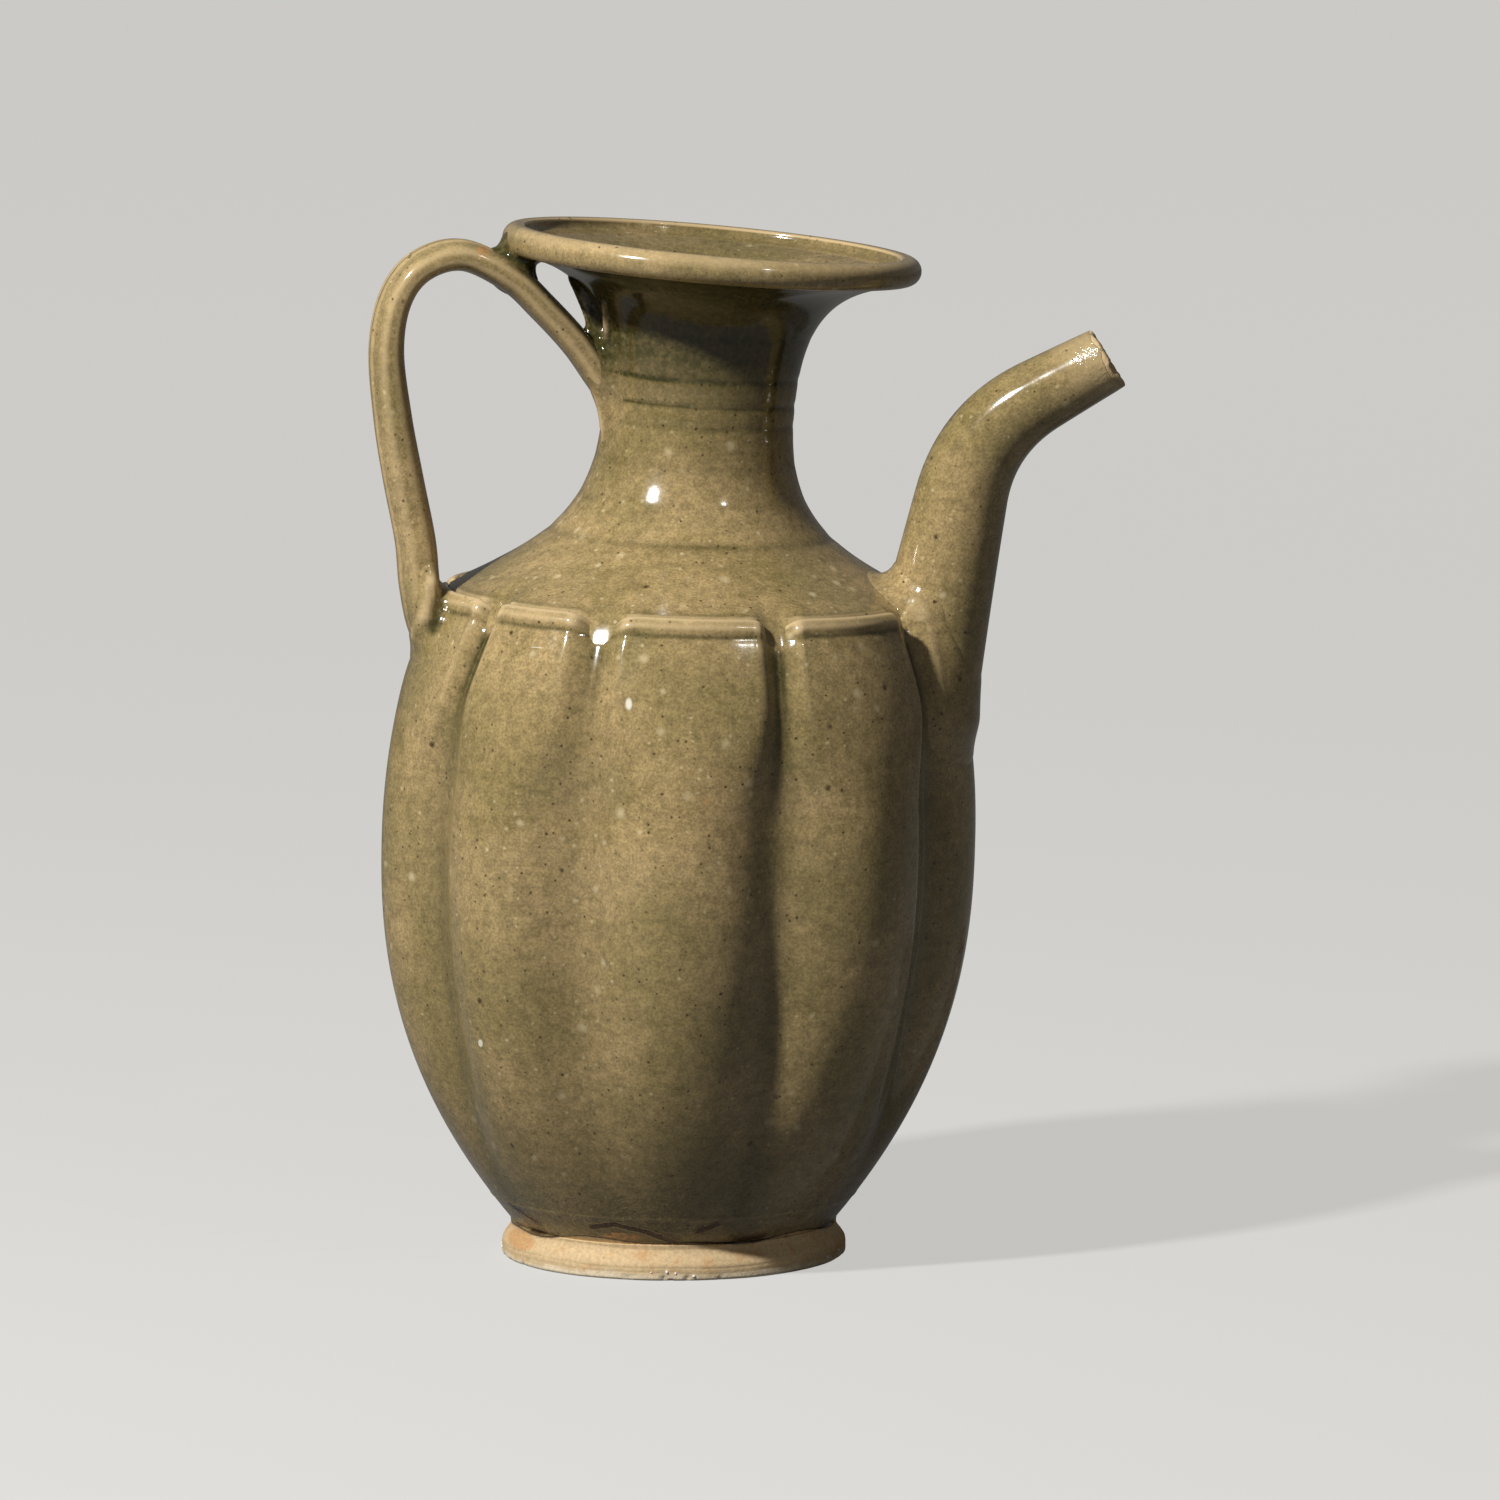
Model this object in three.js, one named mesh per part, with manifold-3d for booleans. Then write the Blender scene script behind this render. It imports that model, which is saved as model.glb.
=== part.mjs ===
import * as THREE from 'three';
import { mergeVertices } from 'three/addons/utils/BufferGeometryUtils.js';
import Module from 'manifold-3d';

const wasm = await Module();
wasm.setup();

// A lobed stoneware ewer with a dish mouth, a bent spout and a ribbed strap handle.
// Millimetres, +Z up. Azimuths are in degrees from -Y, the front, towards +X.
// Each piece is first made as it was thrown, upright round the foot's axis. Then the whole pot
// gets the lean that it took on in the kiln.

// Clearance between pieces that touch, and how far a cutting tool runs past what it cuts
const JOINT_GAP = 0.3;
const OVERRUN = 2;

// Kiln slump: how far the mouth has drifted towards +X, by how many degrees it has dipped on that
// side, and how fast the drift and the dip grow with height
const SLUMP_DRIFT = 8.5;
const SLUMP_DRIFT_POWER = 2.5;
const SLUMP_DIP = 5.2;
const SLUMP_DIP_POWER = 2.4;

// Foot ring, a little narrower at its top, where the body stands a shelf's width further in
const FOOT_HEIGHT = 7.1;
const FOOT_BASE_RADIUS = 36.4;
const FOOT_TAPER = 1.7;
const FOOT_WALL = 4.9;
const FOOT_EDGE = 0.7;
const FOOT_SHELF = 0.9;
const footTopRadius = FOOT_BASE_RADIUS - FOOT_TAPER;
const footInnerRadius = footTopRadius - FOOT_WALL;

// Lobed body: it swells from the foot to the belly and closes in again to the ledge
const BELLY_RADIUS = 62.8;
const BELLY_RISE = 80.9;
const BELLY_RISE_POWER = 2.33;
const LEDGE_SETBACK = 11.2;
const LEDGE_RISE = 52.4;
const LEDGE_CLOSE_POWER = 2.3;
const LEDGE_EDGE = 0.8;
const BODY_WALL = 5.6;
const bodyBaseRadius = footTopRadius - FOOT_SHELF;
const bellyHeight = FOOT_HEIGHT + BELLY_RISE;
const ledgeRadius = BELLY_RADIUS - LEDGE_SETBACK;
const ledgeHeight = bellyHeight + LEDGE_RISE;
const FLOOR_THICKNESS = 5.5;
const INSIDE_ROUND_POWER = 2.35;

// Lobes: each groove is a narrow channel at the ledge and a soft valley that fades out near the foot
const LOBES = 9;
const LOBE_PITCH = 360 / LOBES;
const GROOVE_DEPTH = 2;
const GROOVE_FADE_RISE = 4.9;
const GROOVE_FULL_RISE = 50.9;
const GROOVE_TOP_HALF_ANGLE = 4.4;
const GROOVE_LOW_HALF_ANGLE = 8.5;
const GROOVE_TOP_SHARPNESS = 4;
const GROOVE_LOW_SHARPNESS = 1.5;
const fadeHeight = FOOT_HEIGHT + GROOVE_FADE_RISE;
const fullHeight = FOOT_HEIGHT + GROOVE_FULL_RISE;

// Shoulder, neck and dish mouth: one flowing outline from the ledge over the waist to the lip,
// cut in three at two seams. Its pulls are shares of the width and height that each sweep crosses.
const THROWN_WALL = 3.9;
const WAIST_RADIUS = 20;
const WAIST_RISE = 37.6;
const MOUTH_RADIUS = 43.9;
const MOUTH_RISE = 36;
const LIP_HALF_HEIGHT = 2.9;
const LIP_ROUND = 2.7;
const shoulderPullShares = [0.372, 0.245];
const waistLowerPullShare = 0.585;
const waistUpperPullShare = 0.646;
const flarePullShares = [0.241, 0.917];
const shoulderSeamShare = 0.45;
const mouthSeamShare = 0.42;
const waistHeight = ledgeHeight + WAIST_RISE;
const mouthHeight = waistHeight + MOUTH_RISE;

// Spout: two straight legs joined by a round bend, standing on the ledge of one lobe
const SPOUT_AZIMUTH = 80;
const SPOUT_LEAN = 8.2;
const SPOUT_RISE = 35;
const SPOUT_ROOT_OUTSET = 1.8;
const SPOUT_CORNER_RISE = 38;
const SPOUT_BEND_LENGTH = 13.5;
const SPOUT_TIP_LENGTH = 33;
const SPOUT_ROOT_RADIUS = 11;
const SPOUT_TIP_RADIUS = 7.2;
const SPOUT_WALL_ROOT = 4;
const SPOUT_WALL_TIP = 2.4;

// Handle: a strap with three ribs on its outer face
const HANDLE_AZIMUTH = -80;
const HANDLE_STANDOFF = 22.9;
const HANDLE_TOP_DROP = 6.8;
const HANDLE_LIMB_OUTSET = 6.5;
const HANDLE_LIMB_RISE = 9.5;
const HANDLE_LEDGE_OUTSET = 5;
const HANDLE_ROOT_DROP = 8.8;
const HANDLE_END_DROP = 17.4;
const HANDLE_ROOT_DEPTH = 1.4;
const HANDLE_END_DEPTH = 9.8;
const HANDLE_NECK_WIDTH = 12;
const HANDLE_WIDTH = 15.5;
const HANDLE_ROOT_WIDTH = 20;
const HANDLE_THICKNESS = 6.2;
const HANDLE_ROOT_THICKNESS = 8.2;
const HANDLE_RIBS = 3;
const HANDLE_RIB_HEIGHT = 0.9;
const STRAP_EDGE_POWER = 0.75;
const STRAP_FACE_POWER = 0.6;
const handleReach = MOUTH_RADIUS + HANDLE_STANDOFF;
const handleTop = mouthHeight - HANDLE_TOP_DROP;

// Soft clay worked into the joints: how far it climbs its strap or tube, and how far it spreads
const SPOUT_LUTE_CLIMB = 10;
const SPOUT_LUTE_SPREAD = 8;
const HANDLE_NECK_LUTE_CLIMB = 7;
const HANDLE_NECK_LUTE_SPREAD = 6;
const HANDLE_ROOT_LUTE_CLIMB = 8;
const HANDLE_ROOT_LUTE_SPREAD = 7;
const LUTE_SWELL = 1.6;
const LUTE_CORE_SHARE = 0.4;

// Dab of clay under the lip, a little wider at both ends
const RIM_PAD_RADIUS = 4.6;
const RIM_PAD_FLARE_SHARE = 0.25;

// Facets round each form, and rings along the spout and the handle
const ROUND_STEPS = 48;
const LOBE_STEPS = 8;
const TUBE_STEPS = 18;
const STRAP_STEPS = 18;
const LUTE_STEPS = 3;
const SPOUT_RINGS = 22;
const HANDLE_RINGS = 34;
const PAD_RINGS = 4;

const { lerp, clamp, smoothstep, degToRad, radToDeg } = THREE.MathUtils;

// Direction straight out from the pot's axis at an azimuth, and the direction across it
const outward = (azimuth) =>
  new THREE.Vector3(Math.sin(degToRad(azimuth)), -Math.cos(degToRad(azimuth)), 0);
const across = (azimuth) => outward(azimuth + 90);
const azimuthOf = (x, y) => radToDeg(Math.atan2(x, -y));

// A point given by its distance from the axis and its height
const point = (radius, height) => new THREE.Vector2(radius, height);

// Evenly spaced shares from first to last
const shares = (steps, first = 0, last = 1) =>
  Array.from({ length: steps + 1 }, (_, step) => lerp(first, last, step / steps));

// Outline of the lobes' crests, from the foot to the belly and from the belly to the ledge
function crestRadius(height) {
  if (height < bellyHeight) {
    const rise = clamp((height - FOOT_HEIGHT) / BELLY_RISE, 0, 1);
    return lerp(bodyBaseRadius, BELLY_RADIUS, 1 - (1 - rise) ** BELLY_RISE_POWER);
  }
  const close = clamp((height - bellyHeight) / LEDGE_RISE, 0, 1);
  return lerp(BELLY_RADIUS, ledgeRadius, close ** LEDGE_CLOSE_POWER);
}

// Depth of the groove between two lobes, nothing on a lobe's crest
function grooveDepth(azimuth, height) {
  const fromCrest = Math.abs(azimuth - LOBE_PITCH * Math.round(azimuth / LOBE_PITCH));
  const fromGroove = LOBE_PITCH / 2 - fromCrest;
  const rise = smoothstep(height, fadeHeight, ledgeHeight);
  const halfAngle = lerp(GROOVE_LOW_HALF_ANGLE, GROOVE_TOP_HALF_ANGLE, rise);
  const sharpness = lerp(GROOVE_LOW_SHARPNESS, GROOVE_TOP_SHARPNESS, rise);
  const fade = smoothstep(height, fadeHeight, fullHeight);
  return GROOVE_DEPTH * fade * Math.exp(-((fromGroove / halfAngle) ** sharpness));
}

// The outline above the ledge: shoulder and lower neck, then upper neck and the dish's underside
const shoulderRadius = ledgeRadius - GROOVE_DEPTH;
const lipBottom = mouthHeight - 2 * LIP_HALF_HEIGHT;
const flareRadius = MOUTH_RADIUS - LIP_ROUND;
const pulled = (radius, height, [outwardShare, upwardShare]) => point(
  lerp(WAIST_RADIUS, radius, outwardShare),
  lerp(Math.min(height, waistHeight), Math.max(height, waistHeight), upwardShare),
);
const lowerSweep = new THREE.CubicBezierCurve(
  point(shoulderRadius, ledgeHeight + JOINT_GAP),
  pulled(shoulderRadius, ledgeHeight, shoulderPullShares),
  point(WAIST_RADIUS, lerp(waistHeight, ledgeHeight, waistLowerPullShare)),
  point(WAIST_RADIUS, waistHeight),
);
const upperSweep = new THREE.CubicBezierCurve(
  point(WAIST_RADIUS, waistHeight),
  point(WAIST_RADIUS, lerp(waistHeight, lipBottom, waistUpperPullShare)),
  pulled(flareRadius, lipBottom, flarePullShares),
  point(flareRadius, lipBottom),
);
const lip = new THREE.EllipseCurve(
  flareRadius, mouthHeight - LIP_HALF_HEIGHT,
  LIP_ROUND, LIP_HALF_HEIGHT,
  -Math.PI / 2, Math.PI / 2,
);

// Points along a stretch of a curve, each with the direction that points out of the clay
function stretch(curve, steps, first, last) {
  return shares(steps, first, last).map((share) => {
    const tangent = curve.getTangentAt(share);
    return { at: curve.getPointAt(share), out: point(tangent.y, -tangent.x) };
  });
}

// The same stretch moved along its own normals: outwards, or inwards where distance is negative
const parallel = (stretched, distance) =>
  stretched.map(({ at, out }) => at.clone().addScaledVector(out, distance));

// Share of a curve's length that half a joint's gap takes up
const halfGapShare = (curve) => JOINT_GAP / 2 / curve.getLength();

// Distance from the axis of a rising curve at a height, found by halving
function radiusOn(curve, height) {
  let low = 0;
  let high = 1;
  for (let halving = 0; halving < 24; halving++) {
    const middle = (low + high) / 2;
    if (curve.getPoint(middle).y < height) low = middle;
    else high = middle;
  }
  return curve.getPoint(low).x;
}

// Distance from the axis to the pot's outside, for the heights where handle and spout meet it
function outsideRadius(azimuth, height) {
  if (height <= ledgeHeight) return crestRadius(height) - grooveDepth(azimuth, height);
  return height < waistHeight ? radiusOn(lowerSweep, height) : radiusOn(upperSweep, height);
}

// Turns a closed outline once round the pot's axis
const turned = (outline, steps = ROUND_STEPS) =>
  new THREE.LatheGeometry(outline, steps).rotateX(Math.PI / 2);

// Moves an azimuth towards the nearest groove, so that even steps crowd together where the form is sharp
function crowded(azimuth) {
  const crest = LOBE_PITCH * Math.round(azimuth / LOBE_PITCH);
  const fromCrestShare = (azimuth - crest) / (LOBE_PITCH / 2);
  return crest + Math.sign(fromCrestShare) * Math.sqrt(Math.abs(fromCrestShare)) * LOBE_PITCH / 2;
}

// Presses the grooves into the points of a turned form that isCarved picks from its outline
function carved(outline, isCarved) {
  const geometry = turned(outline, LOBES * LOBE_STEPS);
  const places = geometry.attributes.position;
  for (let index = 0; index < places.count; index++) {
    const height = places.getZ(index);
    const radius = outline[index % outline.length].x;
    const azimuth = crowded(azimuthOf(places.getX(index), places.getY(index)));
    const depth = isCarved(index % outline.length) ? grooveDepth(azimuth, height) : 0;
    const place = outward(azimuth).multiplyScalar(radius - depth);
    places.setXY(index, place.x, place.y);
  }
  return geometry;
}

// Skin over a row of rings with as many points each. The ends are closed with flat fans,
// or, round a ring-shaped form, the last ring is joined to the first.
function loft(rings, isRing = false) {
  const around = rings[0].length;
  const places = rings.flat().flatMap((place) => place.toArray());
  const faces = [];
  const joined = isRing ? rings.length : rings.length - 1;
  for (let ring = 0; ring < joined; ring++) {
    const here = ring * around;
    const next = ((ring + 1) % rings.length) * around;
    for (let side = 0; side < around; side++) {
      const turn = (side + 1) % around;
      faces.push(here + side, here + turn, next + turn, here + side, next + turn, next + side);
    }
  }
  if (!isRing) {
    const last = (rings.length - 1) * around;
    for (let side = 1; side < around - 1; side++) {
      faces.push(0, side + 1, side, last, last + side, last + side + 1);
    }
  }
  const geometry = new THREE.BufferGeometry();
  geometry.setAttribute('position', new THREE.Float32BufferAttribute(places, 3));
  geometry.setIndex(faces);
  return geometry;
}

// Closed solid with its faces pointing out
function solid(geometry) {
  geometry.deleteAttribute('normal');
  geometry.deleteAttribute('uv');
  const merged = mergeVertices(geometry);
  const places = merged.attributes.position;
  const corners = [new THREE.Vector3(), new THREE.Vector3(), new THREE.Vector3()];
  const faces = [];
  let volume = 0;
  for (let face = 0; face < merged.index.count; face += 3) {
    const ids = [0, 1, 2].map((corner) => merged.index.getX(face + corner));
    if (new Set(ids).size < 3) continue;
    ids.forEach((id, corner) => corners[corner].fromBufferAttribute(places, id));
    volume += corners[0].dot(corners[1].clone().cross(corners[2]));
    faces.push(...ids);
  }
  if (volume < 0) faces.reverse();
  return new wasm.Manifold(new wasm.Mesh({
    numProp: 3,
    vertProperties: new Float32Array(places.array),
    triVerts: new Uint32Array(faces),
  }));
}

// Leans a point with the slumped pot: its level is carried sideways and dips
function slump(place) {
  const rise = Math.max(place.z, 0) / mouthHeight;
  const drift = SLUMP_DRIFT * rise ** SLUMP_DRIFT_POWER;
  const dip = degToRad(SLUMP_DIP) * rise ** SLUMP_DIP_POWER;
  return new THREE.Vector3(
    drift + place.x * Math.cos(dip),
    place.y,
    place.z - place.x * Math.sin(dip),
  );
}

const pot = new THREE.Group();

// Adds a finished solid to the pot as a named piece
function addPiece(name, manifold, material) {
  const { vertProperties, triVerts } = manifold.getMesh();
  const geometry = new THREE.BufferGeometry();
  geometry.setAttribute('position', new THREE.Float32BufferAttribute(vertProperties, 3));
  geometry.setIndex(Array.from(triVerts));
  const places = geometry.attributes.position;
  for (let index = 0; index < places.count; index++) {
    const leaned = slump(new THREE.Vector3().fromBufferAttribute(places, index));
    places.setXYZ(index, leaned.x, leaned.y, leaned.z);
  }
  geometry.computeVertexNormals();
  const mesh = new THREE.Mesh(geometry, material);
  mesh.name = name;
  pot.add(mesh);
}

// Materials: olive glaze over stoneware, thinner and paler on worked clay, and bare fired clay
const glaze = (color) => new THREE.MeshStandardMaterial({ color, roughness: 0.15, metalness: 0 });
const bareClay = () => new THREE.MeshStandardMaterial({ color: 0xc3aa7e, roughness: 0.8, metalness: 0 });

// The pot's outside as one solid, grown by the joint gap, that trims what is set against it
function outsideTool() {
  const lowHeight = FOOT_HEIGHT + FOOT_EDGE;
  const crest = shares(14).map((share) => {
    const height = lerp(lowHeight, ledgeHeight + JOINT_GAP, share);
    return point(crestRadius(height) + JOINT_GAP, height);
  });
  const above = [
    ...parallel(stretch(lowerSweep, 14, 0, 1), JOINT_GAP),
    ...parallel(stretch(upperSweep, 12, 0, 1), JOINT_GAP).slice(1),
    ...parallel(stretch(lip, 6, 0, 1), JOINT_GAP),
  ];
  const outline = [
    point(0, lowHeight),
    ...crest,
    ...above,
    point(0, mouthHeight + JOINT_GAP),
  ];
  return solid(carved(outline, (place) => place <= crest.length));
}

function makeFootRing() {
  const outline = [
    point(footInnerRadius + FOOT_EDGE, 0),
    point(FOOT_BASE_RADIUS - FOOT_EDGE, 0),
    point(FOOT_BASE_RADIUS, FOOT_EDGE),
    point(footTopRadius, FOOT_HEIGHT),
    point(footInnerRadius, FOOT_HEIGHT),
    point(footInnerRadius, FOOT_EDGE),
    point(footInnerRadius + FOOT_EDGE, 0),
  ];
  return solid(turned(outline));
}

// Inside of the body: a round-bottomed bowl that narrows again below the shoulder
function insideRadius(height) {
  const floor = FOOT_HEIGHT + JOINT_GAP + FLOOR_THICKNESS;
  if (height > bellyHeight) return crestRadius(height) - BODY_WALL;
  const rise = (height - floor) / (bellyHeight - floor);
  return (BELLY_RADIUS - BODY_WALL) * (1 - (1 - rise) ** INSIDE_ROUND_POWER) ** (1 / INSIDE_ROUND_POWER);
}

function makeBody() {
  const underside = FOOT_HEIGHT + JOINT_GAP;
  const floor = underside + FLOOR_THICKNESS;
  const rising = shares(7).map((share) => lerp(underside, bellyHeight, share));
  const closing = shares(6).slice(1).map((share) => lerp(bellyHeight, ledgeHeight - LEDGE_EDGE, share));
  const outer = [...rising, ...closing].map((height) => point(crestRadius(height), height));
  const top = point(ledgeRadius - LEDGE_EDGE, ledgeHeight);
  const insideLevels = shares(3).map((share) => lerp(ledgeHeight, bellyHeight, share));
  const bowlLevels = shares(6).slice(1, -1)
    .map((share) => lerp(bellyHeight, floor, Math.sin(share * Math.PI / 2)));
  const inner = [...insideLevels, ...bowlLevels].map((height) => point(insideRadius(height), height));
  const outline = [point(0, underside), ...outer, top, ...inner, point(0, floor)];
  return solid(carved(outline, (place) => place > 0 && place <= outer.length + 1));
}

// Closed wall between a stretch and its parallel inside, with joint faces square to the clay
const thrownWall = (stretched) => {
  const outer = stretched.map(({ at }) => at);
  const inner = parallel(stretched, -THROWN_WALL).reverse();
  return [...outer, ...inner, outer[0]];
};

function makeShoulder() {
  const seam = shoulderSeamShare - halfGapShare(lowerSweep);
  const stretched = stretch(lowerSweep, 6, 0, seam);
  const outer = stretched.map(({ at }) => at);
  const inner = parallel(stretched, -THROWN_WALL).filter((at) => at.y > outer[0].y + JOINT_GAP).reverse();
  const seat = point(shoulderRadius - THROWN_WALL, outer[0].y);
  return solid(turned([...outer, ...inner, seat, outer[0]]));
}

function makeNeck() {
  const low = stretch(lowerSweep, 5, shoulderSeamShare + halfGapShare(lowerSweep), 1);
  const high = stretch(upperSweep, 3, 0, mouthSeamShare - halfGapShare(upperSweep)).slice(1);
  return solid(turned(thrownWall([...low, ...high])));
}

function makeMouth() {
  const underside = stretch(upperSweep, 6, mouthSeamShare + halfGapShare(upperSweep), 1);
  const rolled = stretch(lip, 6, 0, 1).slice(1).map(({ at }) => at);
  const dish = parallel(underside.slice(0, -1), -THROWN_WALL).reverse();
  const outer = underside.map(({ at }) => at);
  return solid(turned([...outer, ...rolled, ...dish, outer[0]]));
}

// Steps along a centre line in the upright plane at an azimuth. Each holds its share of the line,
// its place, and the way square to the line within the plane.
function frames(curve, azimuth, steps) {
  const out = outward(azimuth);
  return shares(steps).map((share) => {
    const at = curve.getPointAt(share);
    const tangent = curve.getTangentAt(share);
    return {
      share,
      place: out.clone().multiplyScalar(at.x).setZ(at.y),
      normal: out.clone().multiplyScalar(-tangent.y).setZ(tangent.x),
    };
  });
}

// The spout's centre line, from inside the body at the belly's height to the cut tip
const spoutLean = degToRad(SPOUT_LEAN);
const spoutRise = degToRad(SPOUT_RISE);
const lowLeg = point(Math.sin(spoutLean), Math.cos(spoutLean));
const highLeg = point(Math.cos(spoutRise), Math.sin(spoutRise));
const spoutRoot = point(ledgeRadius + SPOUT_ROOT_OUTSET, ledgeHeight);
const spoutCorner = spoutRoot.clone().addScaledVector(lowLeg, SPOUT_CORNER_RISE / lowLeg.y);
const spoutSunk = LEDGE_RISE / lowLeg.y;
const sunkShare = spoutSunk / (spoutSunk + SPOUT_CORNER_RISE / lowLeg.y + SPOUT_TIP_LENGTH);

function spoutLine(sunk, past) {
  const line = new THREE.CurvePath();
  const bendStart = spoutCorner.clone().addScaledVector(lowLeg, -SPOUT_BEND_LENGTH);
  const bendEnd = spoutCorner.clone().addScaledVector(highLeg, SPOUT_BEND_LENGTH);
  line.add(new THREE.LineCurve(spoutRoot.clone().addScaledVector(lowLeg, -sunk), bendStart));
  line.add(new THREE.QuadraticBezierCurve(bendStart, spoutCorner, bendEnd));
  const tip = spoutCorner.clone().addScaledVector(highLeg, SPOUT_TIP_LENGTH + past);
  line.add(new THREE.LineCurve(bendEnd, tip));
  return line;
}

// Rings of a round tube along a centre line, with a radius for each share of its length
function tubeRings(line, azimuth, steps, radiusAt) {
  const side = across(azimuth);
  return frames(line, azimuth, steps).map(({ share, place, normal }) =>
    shares(TUBE_STEPS).slice(1).map((turn) => place.clone()
      .addScaledVector(normal, Math.cos(turn * 2 * Math.PI) * radiusAt(share))
      .addScaledVector(side, Math.sin(turn * 2 * Math.PI) * radiusAt(share))));
}

// The spout tapers evenly from the ledge to its tip, and by the same rule below the ledge
const fromLedge = (share) => (share - sunkShare) / (1 - sunkShare);
const spoutOuterRadius = (share) => lerp(SPOUT_ROOT_RADIUS, SPOUT_TIP_RADIUS, fromLedge(share));
const spoutWall = (share) => lerp(SPOUT_WALL_ROOT, SPOUT_WALL_TIP, fromLedge(share));

const spoutRings = (grown = 0) => tubeRings(
  spoutLine(spoutSunk, 0), SPOUT_AZIMUTH, SPOUT_RINGS, (share) => spoutOuterRadius(share) + grown,
);

const boreRings = () => tubeRings(
  spoutLine(spoutSunk + OVERRUN, OVERRUN), SPOUT_AZIMUTH, SPOUT_RINGS,
  (share) => spoutOuterRadius(share) - spoutWall(share),
);

// The handle's centre line: from the waist to under the lip, over the arch to its furthest reach,
// and down the lower limb to where it turns in over the ledge. Its heights are shares between
// the ledge and the arch's top. Both its ends lie inside the clay.
const handleNeckShares = [
  [-0.331, 0.501], [-0.132, 0.578], [0.066, 0.655], [0.331, 0.756], [0.684, 0.858], [1.026, 0.941],
];
const handleArchShares = [[0.433, 1], [0.763, 0.962], [0.952, 0.865], [1, 0.71]];
const handleLimbShares = [[0.729, 0.508], [0.38, 0.327]];

function handleLine() {
  const placed = (innerRadius, outerRadius, places) => places.map(([reach, rise]) => point(
    lerp(innerRadius, outerRadius, reach),
    lerp(ledgeHeight, handleTop, rise),
  ));
  const inWall = (drop, depth) => point(crestRadius(ledgeHeight - drop) - depth, ledgeHeight - drop);
  return new THREE.SplineCurve([
    ...placed(WAIST_RADIUS, flareRadius, handleNeckShares),
    ...placed(flareRadius, handleReach, handleArchShares),
    ...placed(ledgeRadius + HANDLE_LIMB_OUTSET, handleReach, handleLimbShares),
    point(ledgeRadius + HANDLE_LIMB_OUTSET, ledgeHeight + HANDLE_LIMB_RISE),
    point(ledgeRadius + HANDLE_LEDGE_OUTSET, ledgeHeight),
    inWall(HANDLE_ROOT_DROP, HANDLE_ROOT_DEPTH),
    inWall(HANDLE_END_DROP, HANDLE_END_DEPTH),
  ]);
}

// The strap widens from the neck to the arch and again towards its root, and thickens down its lower limb
const strapWidth = (share) => (share < 0.5
  ? lerp(HANDLE_NECK_WIDTH, HANDLE_WIDTH, smoothstep(share, 0, 0.3))
  : lerp(HANDLE_WIDTH, HANDLE_ROOT_WIDTH, smoothstep(share, 0.75, 1)));
const strapThickness = (share) =>
  lerp(HANDLE_THICKNESS, HANDLE_ROOT_THICKNESS, smoothstep(share, 0.4, 0.75));

// One ring of the strap: a flat rounded section with ribs along its outer face
function strapRing({ share, place, normal }, grown) {
  const side = across(HANDLE_AZIMUTH);
  return shares(STRAP_STEPS).slice(1).map((turn) => {
    const angle = turn * 2 * Math.PI;
    const edge = Math.sign(Math.cos(angle)) * Math.abs(Math.cos(angle)) ** STRAP_EDGE_POWER;
    const face = Math.sign(Math.sin(angle)) * Math.abs(Math.sin(angle)) ** STRAP_FACE_POWER;
    const hollowShare = (1 - Math.cos(edge * HANDLE_RIBS * Math.PI)) / 2;
    const hollow = HANDLE_RIB_HEIGHT * Math.max(face, 0) * hollowShare;
    return place.clone()
      .addScaledVector(side, edge * (strapWidth(share) / 2 + grown))
      .addScaledVector(normal, face * (strapThickness(share) / 2 + grown) - hollow);
  });
}

const strapRings = (grown = 0) =>
  frames(handleLine(), HANDLE_AZIMUTH, HANDLE_RINGS).map((frame) => strapRing(frame, grown));

// How far a place stands outside the pot, less than zero within the clay, and the way straight out
const standsOut = (place) =>
  Math.hypot(place.x, place.y) - outsideRadius(azimuthOf(place.x, place.y), place.z);

function wayOut(place) {
  const rise = ['x', 'y', 'z'].map((axis) => {
    const beyond = place.clone();
    const before = place.clone();
    beyond[axis] += JOINT_GAP;
    before[axis] -= JOINT_GAP;
    return standsOut(beyond) - standsOut(before);
  });
  return new THREE.Vector3(...rise).normalize();
}

const middleOf = (ring) =>
  ring.reduce((sum, place) => sum.add(place), new THREE.Vector3()).divideScalar(ring.length);

// Where one side of a row of rings, followed from its free end, first enters the pot
function entryOf(rings, side) {
  const inside = rings.findIndex((ring) => standsOut(ring[side]) < 0);
  const above = rings[inside - 1][side];
  const below = rings[inside][side];
  const share = standsOut(above) / (standsOut(above) - standsOut(below));
  return { inside, corner: above.clone().lerp(below, share) };
}

// The place on that side a given distance back from where it enters
function climbed(rings, side, { inside, corner }, distance) {
  let here = corner;
  let left = distance;
  for (let ring = inside - 1; ring >= 0; ring--) {
    const next = rings[ring][side];
    const length = here.distanceTo(next);
    if (length >= left) return here.clone().lerp(next, left / length);
    left -= length;
    here = next;
  }
  return here.clone();
}

// A place on the pot's outside, a given distance from the corner and away from the joined piece
function spreadFrom(corner, middle, distance) {
  const out = wayOut(corner);
  const away = corner.clone().sub(middle);
  away.addScaledVector(out, -away.dot(out)).normalize();
  const place = corner.clone().addScaledVector(away, distance);
  for (let pass = 0; pass < 4; pass++) {
    const side = wayOut(place);
    const radial = place.clone().setZ(0).normalize();
    place.addScaledVector(side, -standsOut(place) * radial.dot(side));
  }
  return place;
}

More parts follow.
